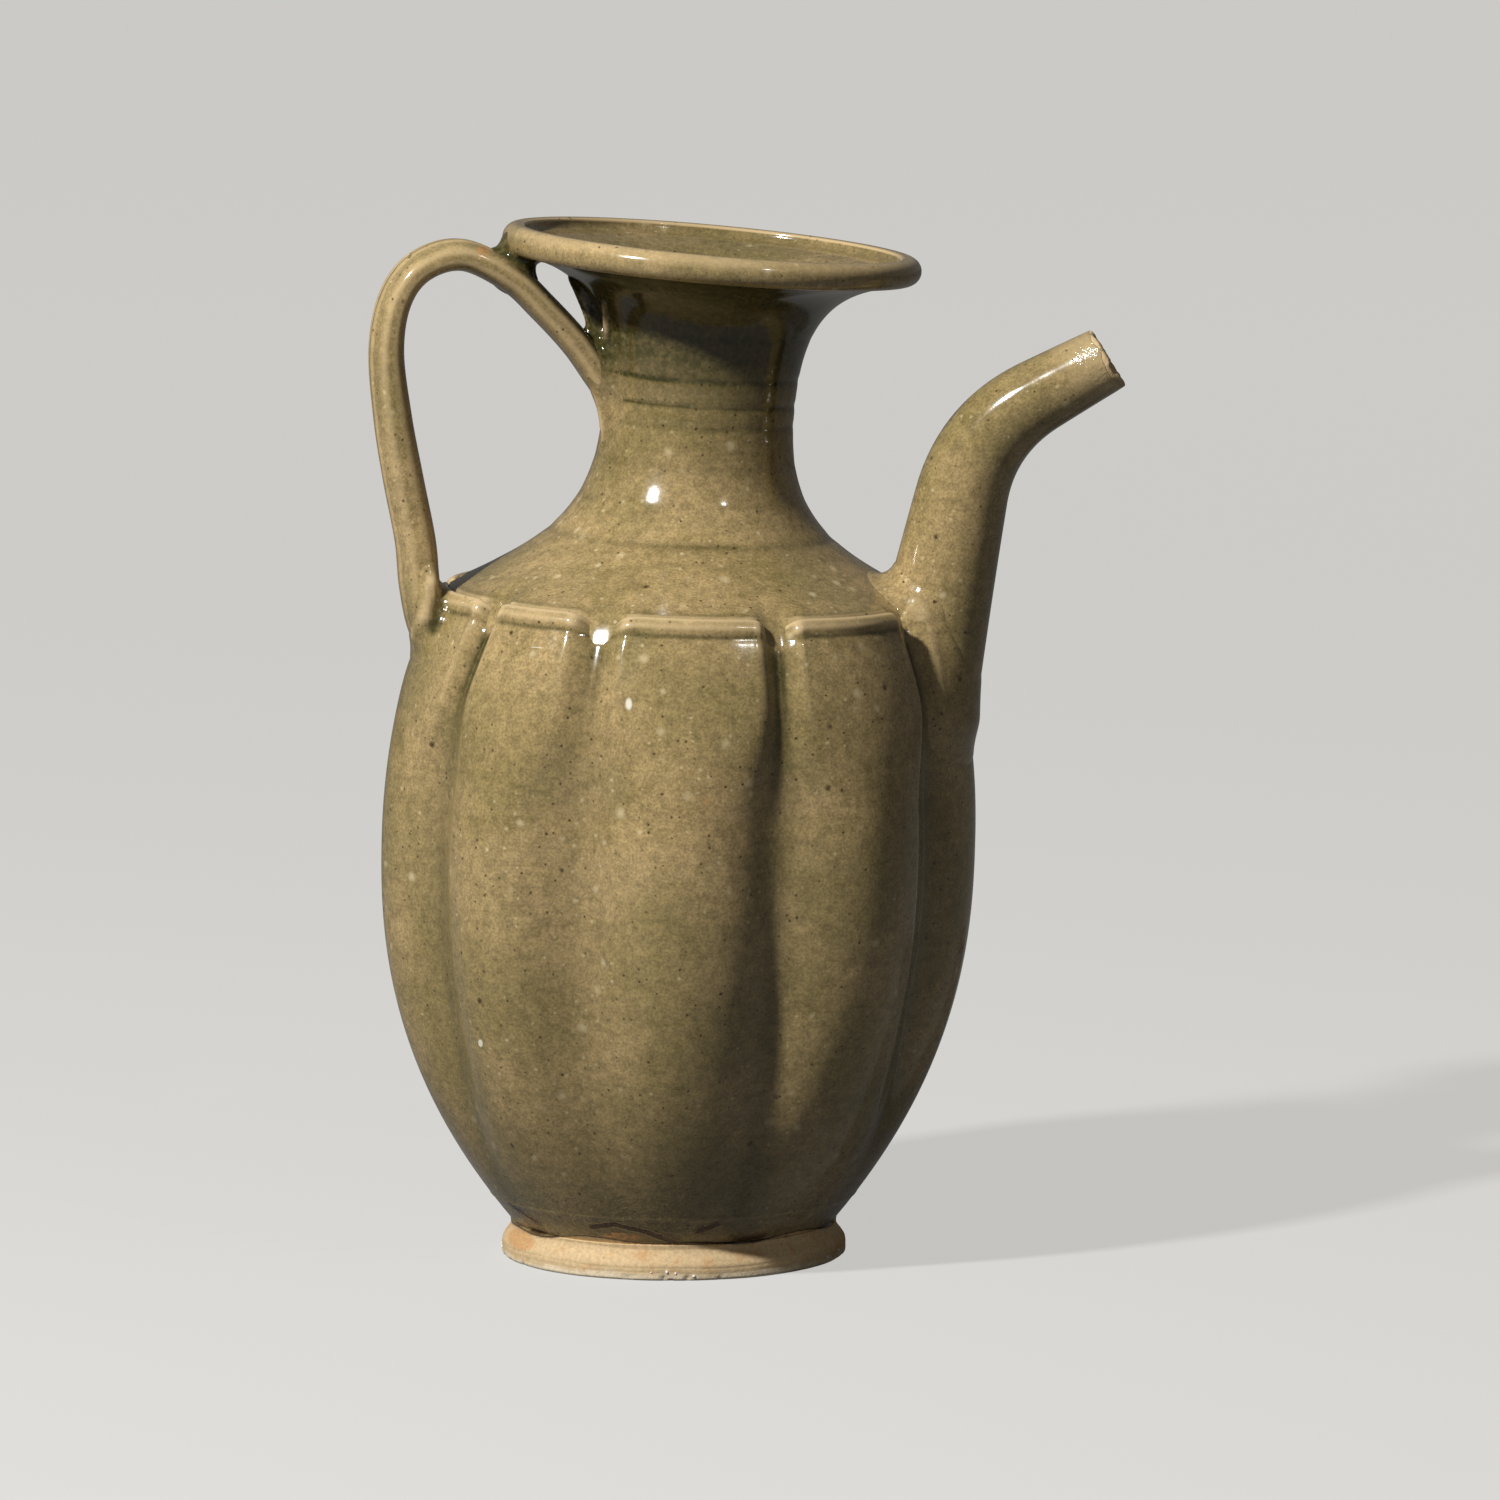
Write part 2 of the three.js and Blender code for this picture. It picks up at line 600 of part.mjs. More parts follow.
// Collar of soft clay round a piece that enters the pot. Each of its sections is hollow: it leaves
// the piece along its side and meets the pot along its surface.
function luteRings(rings, climb, spread) {
  return rings[0].map((_, side) => {
    const entry = entryOf(rings, side);
    const middle = middleOf(rings[entry.inside]);
    const top = climbed(rings, side, entry, climb);
    const toe = spreadFrom(entry.corner, middle, spread);
    const pull = entry.corner.clone().addScaledVector(wayOut(entry.corner), LUTE_SWELL);
    const hollow = new THREE.QuadraticBezierCurve3(top, pull, toe).getPoints(LUTE_STEPS);
    return [...hollow, entry.corner.clone().lerp(middle, LUTE_CORE_SHARE)];
  });
}

// Dab of clay that stands on the strap under the lip
function rimPad() {
  const under = point(flareRadius, lipBottom + JOINT_GAP);
  const strap = handleLine().getPoints(200).find((at) => at.x > under.x);
  const pillar = new THREE.LineCurve(point(under.x, strap.y), under);
  const flare = (share) => 1 + RIM_PAD_FLARE_SHARE * (2 * share - 1) ** 2;
  return solid(loft(tubeRings(pillar, HANDLE_AZIMUTH, PAD_RINGS, (share) => RIM_PAD_RADIUS * flare(share))));
}

// Puts the pieces together, each trimmed to leave the joint gap round its neighbours
const outside = outsideTool();
const bore = solid(loft(boreRings()));
const spout = solid(loft(spoutRings())).subtract(bore).subtract(outside);
const strap = solid(loft(strapRings())).subtract(outside);
const spoutRoom = solid(loft(spoutRings(JOINT_GAP)));
const strapRoom = solid(loft(strapRings(JOINT_GAP)));
const lute = (rings, climb, spread, room) =>
  solid(loft(luteRings(rings, climb, spread), true)).subtract(room).subtract(outside);

const strapHalf = HANDLE_RINGS / 2;
const neckLute = lute(
  strapRings().slice(0, strapHalf).reverse(), HANDLE_NECK_LUTE_CLIMB, HANDLE_NECK_LUTE_SPREAD, strapRoom,
);
const rootLute = lute(
  strapRings().slice(strapHalf), HANDLE_ROOT_LUTE_CLIMB, HANDLE_ROOT_LUTE_SPREAD, strapRoom,
);
const spoutLute = lute(spoutRings().reverse(), SPOUT_LUTE_CLIMB, SPOUT_LUTE_SPREAD, spoutRoom);

addPiece('foot_ring', makeFootRing(), bareClay());
addPiece('lobed_body', makeBody().subtract(bore), glaze(0x8f7c50));
addPiece('shoulder', makeShoulder().subtract(bore), glaze(0x7d7247));
addPiece('neck', makeNeck(), glaze(0x6c6a3f));
addPiece('dish_mouth', makeMouth(), glaze(0x756f45));
addPiece('spout', spout, glaze(0x8a7a50));
addPiece('spout_lute', spoutLute, glaze(0x8a7a50));
addPiece('handle', strap, glaze(0x93825a));
addPiece('handle_neck_lute', neckLute, glaze(0x7f7a52));
addPiece('handle_root_lute', rootLute, glaze(0x8f8058));
addPiece('rim_pad', rimPad().subtract(strapRoom).subtract(outside), glaze(0x6f6c45));

// The origin is under the middle of the whole pot's box, on the surface that it stands on
const box = new THREE.Box3().setFromObject(pot, true);
pot.position.set(-(box.min.x + box.max.x) / 2, -(box.min.y + box.max.y) / 2, 0);
pot.name = 'ewer';

export default pot;
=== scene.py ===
# %% [markdown]
# # A lobed celadon ewer
# This lesson dresses a stoneware pouring ewer: a thrown body pressed into nine lobes, a waisted
# neck with a dish mouth, a bent spout and a ribbed strap handle, all under one olive glaze that
# stops above a bare foot ring. The solids that carry its sizes are loaded first and never change.
# Each one is then covered by a finer clay form that sits in the same place.

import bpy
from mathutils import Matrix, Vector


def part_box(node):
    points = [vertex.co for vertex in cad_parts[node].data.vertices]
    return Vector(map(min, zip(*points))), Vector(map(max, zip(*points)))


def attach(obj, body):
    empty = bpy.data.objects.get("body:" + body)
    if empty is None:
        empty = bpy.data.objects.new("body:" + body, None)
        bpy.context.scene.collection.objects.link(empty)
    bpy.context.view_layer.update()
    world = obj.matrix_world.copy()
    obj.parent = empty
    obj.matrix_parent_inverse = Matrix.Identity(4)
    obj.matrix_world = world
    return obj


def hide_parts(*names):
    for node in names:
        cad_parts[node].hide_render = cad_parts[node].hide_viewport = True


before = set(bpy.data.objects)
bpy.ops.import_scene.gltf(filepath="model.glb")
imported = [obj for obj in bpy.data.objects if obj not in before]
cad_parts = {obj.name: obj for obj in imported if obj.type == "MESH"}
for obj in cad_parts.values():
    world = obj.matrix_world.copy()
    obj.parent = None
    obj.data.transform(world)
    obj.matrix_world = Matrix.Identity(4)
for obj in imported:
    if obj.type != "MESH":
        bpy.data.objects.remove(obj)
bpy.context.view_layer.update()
print("solids:", sorted(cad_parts))

# %% Tools for the rest of the lesson
from math import cos, pi, radians, sin

import bpy
import numpy as np
from mathutils import Vector
from mathutils.bvhtree import BVHTree

# %% [markdown]
# ## The pot's own axis and its lean
# A potter throws everything upright on one axis, and this ewer then sagged in the kiln: its mouth
# drifted and dipped towards the spout. It could be modelled leaning from the start, but turned
# forms are far easier upright. So each piece is made upright round the foot's axis, in
# millimetres, and one helper gives it the same lean as its neighbours and turns it into metres.

# %% Sizes of the upright pot, in millimetres
MM = 0.001
FOOT_HEIGHT = 7.1
FOOT_BASE_RADIUS = 36.4
FOOT_TOP_RADIUS = 34.7
FOOT_INNER_RADIUS = 29.8
BODY_BASE_RADIUS = 33.8
BELLY_RADIUS = 62.8
BELLY_HEIGHT = 88.0
BELLY_RISE_POWER = 2.33
LEDGE_RADIUS = 51.6
LEDGE_HEIGHT = 140.4
LEDGE_CLOSE_POWER = 2.3
BODY_WALL = 5.6
FLOOR_HEIGHT = 12.9
GROOVE_DEPTH = 2.0
THROWN_WALL = 3.9
WAIST_RADIUS = 20.0
WAIST_HEIGHT = 178.0
MOUTH_RADIUS = 43.9
MOUTH_HEIGHT = 214.0
LIP_HALF_HEIGHT = 2.9
LIP_ROUND = 2.7

foot_low, foot_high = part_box("foot_ring")
FOOT_CENTRE = (foot_low + foot_high) / 2 / MM
print("foot axis at", round(FOOT_CENTRE.x, 2), round(FOOT_CENTRE.y, 2), "mm")

# %% Lean a row of points
SLUMP_DRIFT = 8.5
SLUMP_DRIFT_POWER = 2.5
SLUMP_DIP = radians(5.2)
SLUMP_DIP_POWER = 2.4


def lean(places):
    """Carries upright points, in millimetres, to where the kiln left them, in metres."""
    x, y, z = places[..., 0], places[..., 1], places[..., 2]
    rise = np.clip(z, 0, None) / MOUTH_HEIGHT
    drift = SLUMP_DRIFT * rise ** SLUMP_DRIFT_POWER
    dip = SLUMP_DIP * rise ** SLUMP_DIP_POWER
    moved = [FOOT_CENTRE.x + drift + x * np.cos(dip), FOOT_CENTRE.y + y, z - x * np.sin(dip)]
    return np.stack(moved, -1) * MM


def around(azimuth, radius, height):
    """Points at an azimuth, in degrees from the front towards the spout."""
    turn = np.radians(azimuth)
    radius, turn, height = np.broadcast_arrays(radius, turn, height)
    return np.stack([radius * np.sin(turn), -radius * np.cos(turn), height], -1)


def smooth(value, low, high):
    """0 below low, 1 above high, and an S-shaped rise between them."""
    share = np.clip((value - low) / (high - low), 0, 1)
    return share * share * (3 - 2 * share)


def lerp(low, high, share):
    return low + (high - low) * share


def bump_at(value, centre, width):
    """A soft hump, 1 at its centre."""
    return np.exp(-(((value - centre) / width) ** 2))


def ripple(azimuth, height, waves, seed):
    """An uneven wave from -1 to 1, round the pot and up it. waves holds pairs: how many crests
    go round, and how far the wave turns with each millimetre of height."""
    chance = np.random.default_rng(seed)
    starts = chance.uniform(0, 2 * pi, len(waves))
    turn = np.radians(azimuth)
    return sum(np.sin(count * turn + climb * height + start)
               for (count, climb), start in zip(waves, starts)) / len(waves)


# %% [markdown]
# ## Skins over rows of points
# Nearly every piece here is a grid: a turned profile, or rings along a spout or a strap. Spin and
# curve bevels would make such grids too, but a plain grid of points lets the clay be pushed row by
# row, and it tells how strongly each point bulges. That matters for the glaze: it runs thin and
# pale over edges, and pools dark green in hollows.

# %% Build a mesh from a grid of points
def grid_faces(rows, columns, ring):
    """Quads between neighbouring rows. In a ring the last row is joined to the first."""
    here = np.arange(rows if ring else rows - 1)[:, None]
    side = np.arange(columns)[None, :]
    beyond, turn = (here + 1) % rows, (side + 1) % columns
    corners = [here * columns + side, here * columns + turn,
               beyond * columns + turn, beyond * columns + side]
    return np.stack(corners, -1).reshape(-1, 4).tolist()


def cap_faces(rows, columns):
    """Triangles from the first and the last row to the two poles that close them."""
    last, first_pole = (rows - 1) * columns, rows * columns
    faces = []
    for side in range(columns):
        turn = (side + 1) % columns
        faces.append((first_pole, turn, side))
        faces.append((first_pole + 1, last + side, last + turn))
    return faces


def new_object(name, data):
    piece = bpy.data.objects.new(name, data)
    bpy.context.scene.collection.objects.link(piece)
    return piece


def mesh_object(name, places, faces):
    """A smooth closed mesh that faces outwards, in metres."""
    mesh = bpy.data.meshes.new(name)
    mesh.from_pydata(places.tolist(), [], faces)
    turn_outwards(mesh)
    mesh.shade_smooth()
    return new_object(name, mesh)


def skin(name, grid, ring=True):
    """An object over a grid of points in metres: a closed ring of rows, or rows closed by poles."""
    rows, columns = grid.shape[:2]
    places = grid.reshape(-1, 3)
    faces = grid_faces(rows, columns, ring)
    if not ring:
        poles = np.stack([grid[0].mean(0), grid[-1].mean(0)])
        places = np.concatenate([places, poles])
        faces += cap_faces(rows, columns)
    return mesh_object(name, places, faces)


def turn_outwards(mesh):
    """A closed mesh that is inside out has a negative volume, so its faces are flipped."""
    mesh.calc_loop_triangles()
    corners = np.empty(len(mesh.loop_triangles) * 3, np.int32)
    mesh.loop_triangles.foreach_get("vertices", corners)
    places = points_of(mesh)[corners.reshape(-1, 3)]
    volume = np.einsum("ij,ij->i", places[:, 0], np.cross(places[:, 1], places[:, 2])).sum()
    if volume < 0:
        mesh.flip_normals()


def points_of(mesh):
    places = np.empty(len(mesh.vertices) * 3, np.float32)
    mesh.vertices.foreach_get("co", places)
    return places.reshape(-1, 3).astype(float)


def move_points(mesh, places):
    mesh.vertices.foreach_set("co", places.ravel())
    mesh.update()
    mesh.shade_smooth()


# %% Measure how a grid bulges, and which way it faces
def grid_normals(grid, ring=True):
    """Unit normals of a grid whose rows close on themselves."""
    along = np.roll(grid, -1, 0) - np.roll(grid, 1, 0) if ring else np.gradient(grid, axis=0)
    side = np.roll(grid, -1, 1) - np.roll(grid, 1, 1)
    normals = np.cross(side, along)
    return normals / np.maximum(np.linalg.norm(normals, axis=-1, keepdims=True), 1e-12)


def bulge(grid, normals, ring=True):
    """Curvature per millimetre, in both directions: positive on edges, negative in hollows."""
    total = np.zeros(grid.shape[:2])
    for axis in (0, 1):
        before, after = np.roll(grid, 1, axis), np.roll(grid, -1, axis)
        if axis == 0 and not ring:
            before[0], after[-1] = grid[0], grid[-1]
        reach = (np.linalg.norm(grid - before, axis=-1) + np.linalg.norm(after - grid, axis=-1)) / 2
        drop = ((2 * grid - before - after) * normals).sum(-1)
        total += drop / np.maximum(reach, 1e-7) ** 2
    return total * MM


def soften(values, passes, ring=True):
    """Spreads a value over its neighbours, as glaze creeps a little before it sets."""
    for _ in range(passes):
        values = (values * 2 + np.roll(values, 1, 1) + np.roll(values, -1, 1)) / 4
        above, below = np.roll(values, 1, 0), np.roll(values, -1, 0)
        if not ring:
            above[0], below[-1] = values[0], values[-1]
        values = (values * 2 + above + below) / 4
    return values


# %% Write a value per point that a material can read
def paint(mesh, name, values):
    """Stores one number per vertex. Poles at the end of the list take the last value."""
    values = np.asarray(values, np.float32).ravel()
    missing = len(mesh.vertices) - len(values)
    values = np.concatenate([values, np.repeat(values[-1:], missing)])
    layer = mesh.attributes.get(name) or mesh.attributes.new(name, "FLOAT", "POINT")
    layer.data.foreach_set("value", values)


EDGE_THIN = (0.1, 0.75)
HOLLOW_POOL = (0.01, 0.6)


def glaze_flow(grid, passes=3, ring=True, pooled=0.0, thinned=0.0):
    """Where the glaze runs thin and where it pools, each from 0 to 1."""
    bend = soften(bulge(grid, grid_normals(grid, ring), ring), passes, ring)
    thin = np.clip(smooth(bend, *EDGE_THIN) + thinned, 0, 1)
    pool = np.clip(smooth(-bend, *HOLLOW_POOL) + pooled, 0, 1)
    return thin, pool


COAT_VALUES = ("thin", "pool", "bare", "frayed", "burnt", "broken")


def coat(piece, shape, **values):
    """Writes a piece's glaze values: thin, which also holds painted highlights, pool, which also holds
    painted shade, bare for clay without glaze, frayed where the glaze's edge is ragged, burnt where iron
    gathered and where shade along the slits is painted, and broken where the clay is freshly chipped."""
    for name in COAT_VALUES:
        paint(piece.data, name, np.broadcast_to(values.get(name, 0.0), shape))


# %% [markdown]
# ## Glaze and clay
# Celadon is a glassy coat, coloured olive by a little iron. Fired in a smoky kiln it mottles: it is
# browner where it is thin, greener where it pools, with pale dots where bubbles healed and dark
# dots where iron bled through. Paint on an image could show all that, but it would stretch over
# these curved forms. Noise that lives in space doesn't, and it runs on unbroken from body to neck.

# %% Small helpers for node trees
class Nodes:
    """Adds nodes to a tree and links them, each in one call."""

    def __init__(self, tree):
        self.tree = tree

    def add(self, kind, inputs=(), **settings):
        node = self.tree.nodes.new(kind)
        for name, value in settings.items():
            setattr(node, name, value)
        for name, value in dict(inputs).items():
            self.feed(node.inputs[name], value)
        return node

    def feed(self, socket, value):
        if isinstance(value, bpy.types.NodeSocket):
            self.tree.links.new(value, socket)
        else:
            socket.default_value = value

    def math(self, operation, *values, clamp=False):
        inputs = dict(enumerate(values))
        return self.add("ShaderNodeMath", inputs, operation=operation, use_clamp=clamp).outputs[0]

    def most(self, first, *others):
        for other in others:
            first = self.math("MAXIMUM", first, other)
        return first

    def without(self, value):
        """1 where the value is 0, and 0 where it is 1."""
        return self.math("SUBTRACT", 1.0, value)

    def vector(self, operation, *values, **named):
        """Maths on vectors. A length comes out as a number."""
        inputs = {**dict(enumerate(values)), **named}
        node = self.add("ShaderNodeVectorMath", inputs, operation=operation)
        return node.outputs["Value" if operation == "LENGTH" else "Vector"]

    def ramp(self, value, low, high, out_low=0.0, out_high=1.0):
        """A smooth step between two values."""
        inputs = {"Value": value, "From Min": low, "From Max": high}
        inputs.update({"To Min": out_low, "To Max": out_high})
        return self.add("ShaderNodeMapRange", inputs, interpolation_type="SMOOTHSTEP").outputs["Result"]

    def mix(self, share, low, high, blend="MIX"):
        """Mixes two colours."""
        node = self.add("ShaderNodeMix", data_type="RGBA", blend_type=blend)
        for socket, value in ((node.inputs[0], share), (node.inputs[6], low), (node.inputs[7], high)):
            self.feed(socket, value)
        return node.outputs[2]

    def blend(self, share, low, high):
        """Mixes two numbers."""
        return self.add("ShaderNodeMix", {0: share, 2: low, 3: high}, data_type="FLOAT").outputs[0]

    def noise(self, place, size, detail=2.0, roughness=0.5):
        """Noise whose blotches are about size millimetres across."""
        inputs = {"Vector": place, "Scale": 1 / (size * MM), "Detail": detail, "Roughness": roughness}
        return self.add("ShaderNodeTexNoise", inputs).outputs["Fac"]

    def patches(self, place, size, detail, roughness, low, high, least=0.0, most=1.0):
        """Noise blotches that fade in between two values of the noise, from least to most."""
        return self.ramp(self.noise(place, size, detail, roughness), low, high, least, most)

    def times(self, first, *others):
        for other in others:
            first = self.math("MULTIPLY", first, other)
        return first

    def hump(self, value, centre, width):
        """A soft hump, 1 at its centre."""
        away = self.math("DIVIDE", self.math("SUBTRACT", value, centre), width)
        return self.math("EXPONENT", self.times(away, away, -1.0))

    def field(self, attribute):
        """A value per point, in a geometry tree."""
        node = self.add("GeometryNodeInputNamedAttribute", {"Name": attribute}, data_type="FLOAT")
        return node.outputs["Attribute"]

    def value_of(self, attribute):
        """A value per point, in a material."""
        return self.add("ShaderNodeAttribute", attribute_name=attribute).outputs["Fac"]

    def object_place(self):
        return self.add("ShaderNodeTexCoord").outputs["Object"]


def linear(red, green, blue):
    """A colour as a screen shows it, turned into the light values that a shader wants."""
    shares = [value / 255 for value in (red, green, blue)]
    return tuple(s / 12.92 if s <= 0.04045 else ((s + 0.055) / 1.055) ** 2.4 for s in shares) + (1.0,)


def new_material(name):
    """A material, a helper that adds nodes to it, and its shader."""
    material = bpy.data.materials.new(name)
    material.use_nodes = True
    return material, Nodes(material.node_tree), material.node_tree.nodes["Principled BSDF"]


# %% Dots that healed bubbles and iron leave in a glaze
DOT_RAGGEDNESS = 0.7
DOT_SOFTNESS = 0.85


def dots(nodes, place, pitch, radius, kept):
    """1 inside scattered, slightly ragged dots. Each cell, about pitch millimetres wide, has a dot
    where its own chance is below kept."""
    shake = {"Vector": place, "Scale": DOT_RAGGEDNESS / (radius * MM)}
    shaken = nodes.add("ShaderNodeTexNoise", shake).outputs["Color"]
    shaken = nodes.vector("MULTIPLY_ADD", shaken, (radius * MM,) * 3, place)
    cells = nodes.add("ShaderNodeTexVoronoi", {"Vector": shaken, "Scale": 1 / (pitch * MM)})
    chance = nodes.add("ShaderNodeSeparateColor", {"Color": cells.outputs["Color"]})
    chosen = nodes.math("LESS_THAN", chance.outputs[0], kept)
    size = nodes.math("MULTIPLY_ADD", chance.outputs[1], radius / pitch, radius / pitch / 2)
    away = nodes.math("DIVIDE", cells.outputs["Distance"], size)
    inside = nodes.math("SUBTRACT", 1.0, away, clamp=True)
    return nodes.times(nodes.ramp(inside, 0.0, DOT_SOFTNESS), chosen)


# %% Colours of the glaze and the clay, as a screen shows them
OLIVE = linear(143, 125, 82)
WARM_OLIVE = linear(167, 143, 99)
MOSS = linear(100, 90, 47)
# Pooled glaze's green, also used for painted shade in the valleys, under the bead and under the dish
POOLED_AND_SHADED_GREEN = linear(54, 52, 24)
# Thin glaze's buff, also used for painted highlights on the bead and the top of the lip
THIN_AND_HIGHLIGHT_BUFF = linear(204, 178, 134)
PALE_DOT = linear(206, 188, 146)
FLAKE_WHITE = linear(222, 216, 196)
IRON_DOT = linear(50, 32, 16)
CLAY = linear(206, 178, 134)
CLAY_ORANGE = linear(192, 140, 84)
CLAY_PALE = linear(228, 212, 182)
# Burnt clay, also used for painted shade along the slits in the glaze
CLAY_BURNT_AND_SHADE = linear(52, 28, 11)

# %% Patches: their size in millimetres, detail, roughness, where they fade in, least and most
CLOUD = (24.0, 3.0, 0.5, 0.36, 0.66)
HAZE = (3.4, 5.0, 0.7, 0.45, 0.75, 0.0, 0.42)
STROKE = (13.0, 3.0, 0.6, 0.5, 0.72, 0.0, 0.26)
GRAIN = (0.55, 2.0, 0.7, 0.3, 0.7, 0.76, 1.22)
MOTTLE = (2.1, 3.0, 0.6, 0.32, 0.68, 0.86, 1.14)
DOT_FLOCK = (26.0, 2.0, 0.5, 0.42, 0.62, 0.04, 0.5)
POOL_DEPTH = (1.3, 3.0, 0.5, 0.25, 0.7, 0.8, 1.05)
GLAZE_FLASH = (11.0, 4.0, 0.6, 0.71, 0.79)
RAGGED = (1.0, 3.0, 0.7, 0.35, 0.6)
CLAY_FLASH = (6.5, 4.0, 0.62, 0.5, 0.68, 0.0, 0.75)
CLAY_GRAIN = (0.8, 3.0, 0.7, 0.3, 0.72, 0.82, 1.1)
GLAZE_ROUGHNESS = (7.0, 3.0, 0.5, 0.3, 0.7, 0.09, 0.15)
SAND_SHADE = (0.6, 2.0, 0.5, 0.5, 0.85)

# %% Dots: the pitch and radius of each kind in millimetres, and the share of them that shows
HEALED_BUBBLES = ((4.4, 1.15), (2.0, 0.45))
IRON_DOTS = ((1.6, 0.34, 0.4), (5.5, 0.7, 0.25))
CLAY_GRIT = ((2.2, 0.26, 0.4), (7.0, 0.6, 0.3))

# %% Marks that only this pot has: the middle and the radii of each, from the foot's axis
FLAKE = ((-8.6, -60.0, 123.6), (0.95, 5.0, 1.7))
LOW_FLAKE = ((-39.5, -42.0, 51.0), (0.5, 5.0, 0.9))
SCRATCH = ((-27.6, -48.0, 133.8), (1.5, 6.0, 0.16))
HANDLE_FLASH = ((-39.2, -13.0, 212.6), (1.5, 6.0, 1.5))
LIP_FLASH = ((-35.0, -8.0, 219.6), (2.2, 9.0, 1.3))
EDGE_FLASH = ((-10.6, -33.2, 8.9), (4.2, 6.0, 1.1))
FOOT_FLASH = ((-32.0, -14.0, 4.8), (4.5, 10.0, 1.9))
MARK_EDGE = (1.1, 0.75)


def mark(nodes, place, middle_and_radii, strength=1.0):
    """The strength inside a small ellipsoid, in millimetres, and 0 past its soft edge."""
    middle, radii = middle_and_radii
    middle = (Vector(middle) + Vector((FOOT_CENTRE.x, FOOT_CENTRE.y, 0.0))) * MM
    scaled = nodes.vector("DIVIDE", nodes.vector("SUBTRACT", place, middle), Vector(radii) * MM)
    return nodes.times(nodes.ramp(nodes.vector("LENGTH", scaled), *MARK_EDGE), strength)


# %% The glaze's colour
STROKE_STRETCH = (1.0, 1.0, 9.0)
BUBBLE_SHARE = 0.7
THIN_SHARE = 0.85
FLASH_SHARE = 0.5
IRON_SHARE = 0.9


def glaze_colour(nodes, place):
    """Mottled olive, darker and greener in pools and where shade is painted, buff where it runs thin
    and where highlights are painted, with dots and marks.
    """
    colour = nodes.mix(nodes.patches(place, *CLOUD), OLIVE, WARM_OLIVE)
    colour = nodes.mix(nodes.patches(place, *HAZE), colour, MOSS)
    level = nodes.add("ShaderNodeMapping", {"Vector": place, "Scale": STROKE_STRETCH}).outputs[0]
    colour = nodes.mix(nodes.patches(level, *STROKE), colour, MOSS)
    for shading in (GRAIN, MOTTLE):
        colour = nodes.mix(1.0, colour, nodes.patches(place, *shading), "MULTIPLY")

    flock = nodes.patches(place, *DOT_FLOCK)
    healed = nodes.most(*(dots(nodes, place, *kind, flock) for kind in HEALED_BUBBLES))
    colour = nodes.mix(nodes.times(healed, BUBBLE_SHARE), colour, PALE_DOT)
    # The pool value also holds painted shade: in the valleys, under the bead and under the dish.
    pool = nodes.times(nodes.value_of("pool"), nodes.patches(place, *POOL_DEPTH))
    colour = nodes.mix(nodes.math("MINIMUM", pool, 1.0), colour, POOLED_AND_SHADED_GREEN)
    # The thin value also holds painted highlights on the bead and the top of the lip.
    colour = nodes.mix(nodes.times(nodes.value_of("thin"), THIN_SHARE), colour, THIN_AND_HIGHLIGHT_BUFF)

    ragged = nodes.patches(place, *RAGGED)
    flash = nodes.most(nodes.patches(place, *GLAZE_FLASH), mark(nodes, place, LIP_FLASH),
                       nodes.times(mark(nodes, place, HANDLE_FLASH, 2.0), ragged),
                       nodes.times(mark(nodes, place, EDGE_FLASH, 1.9), ragged))
    colour = nodes.mix(nodes.times(flash, FLASH_SHARE), colour, CLAY_ORANGE)
    iron = nodes.most(*(dots(nodes, place, *kind) for kind in IRON_DOTS))
    colour = nodes.mix(nodes.times(iron, IRON_SHARE), colour, IRON_DOT)
    flakes = nodes.most(mark(nodes, place, FLAKE), mark(nodes, place, LOW_FLAKE),
                        mark(nodes, place, SCRATCH, 0.5))
    return nodes.mix(flakes, colour, FLAKE_WHITE)


# %% The fired clay's colour
CLAY_FLASH_SHARE = 0.85
PALE_EDGE = (-0.0008, 0.0009)
PALE_EDGE_SWAY = -0.0022
CLAY_GRIT_SHARE = 0.6


def clay_colour(nodes, place, height):
    """Buff clay, with orange flashes, dark grit and a paler lower edge."""
    flash = nodes.most(nodes.patches(place, *CLAY_FLASH), mark(nodes, place, FOOT_FLASH, 0.8))
    flash = nodes.times(flash, CLAY_FLASH_SHARE, nodes.without(nodes.value_of("broken")))
    colour = nodes.mix(flash, CLAY, CLAY_ORANGE)
    waver = nodes.math("MULTIPLY_ADD", nodes.noise(place, 4.0, 3.0), PALE_EDGE_SWAY, height)
    colour = nodes.mix(nodes.ramp(waver, *PALE_EDGE), CLAY_PALE, colour)
    colour = nodes.mix(1.0, colour, nodes.patches(place, *CLAY_GRAIN), "MULTIPLY")
    grit = nodes.most(*(dots(nodes, place, *kind) for kind in CLAY_GRIT))
    return nodes.mix(nodes.times(grit, CLAY_GRIT_SHARE), colour, CLAY_BURNT_AND_SHADE)


# %% Glaze and clay in one material
CLAY_STARTS = (0.42, 0.6)
BURN_STARTS = (0.08, 0.45)
BURN_ENDS = (0.95, 0.55)
BURN_SHARE = 0.95
CLAY_ROUGHNESS = 0.8
RELIEF_HEIGHT = 0.12 * MM
RELIEF_SHARE = 0.6


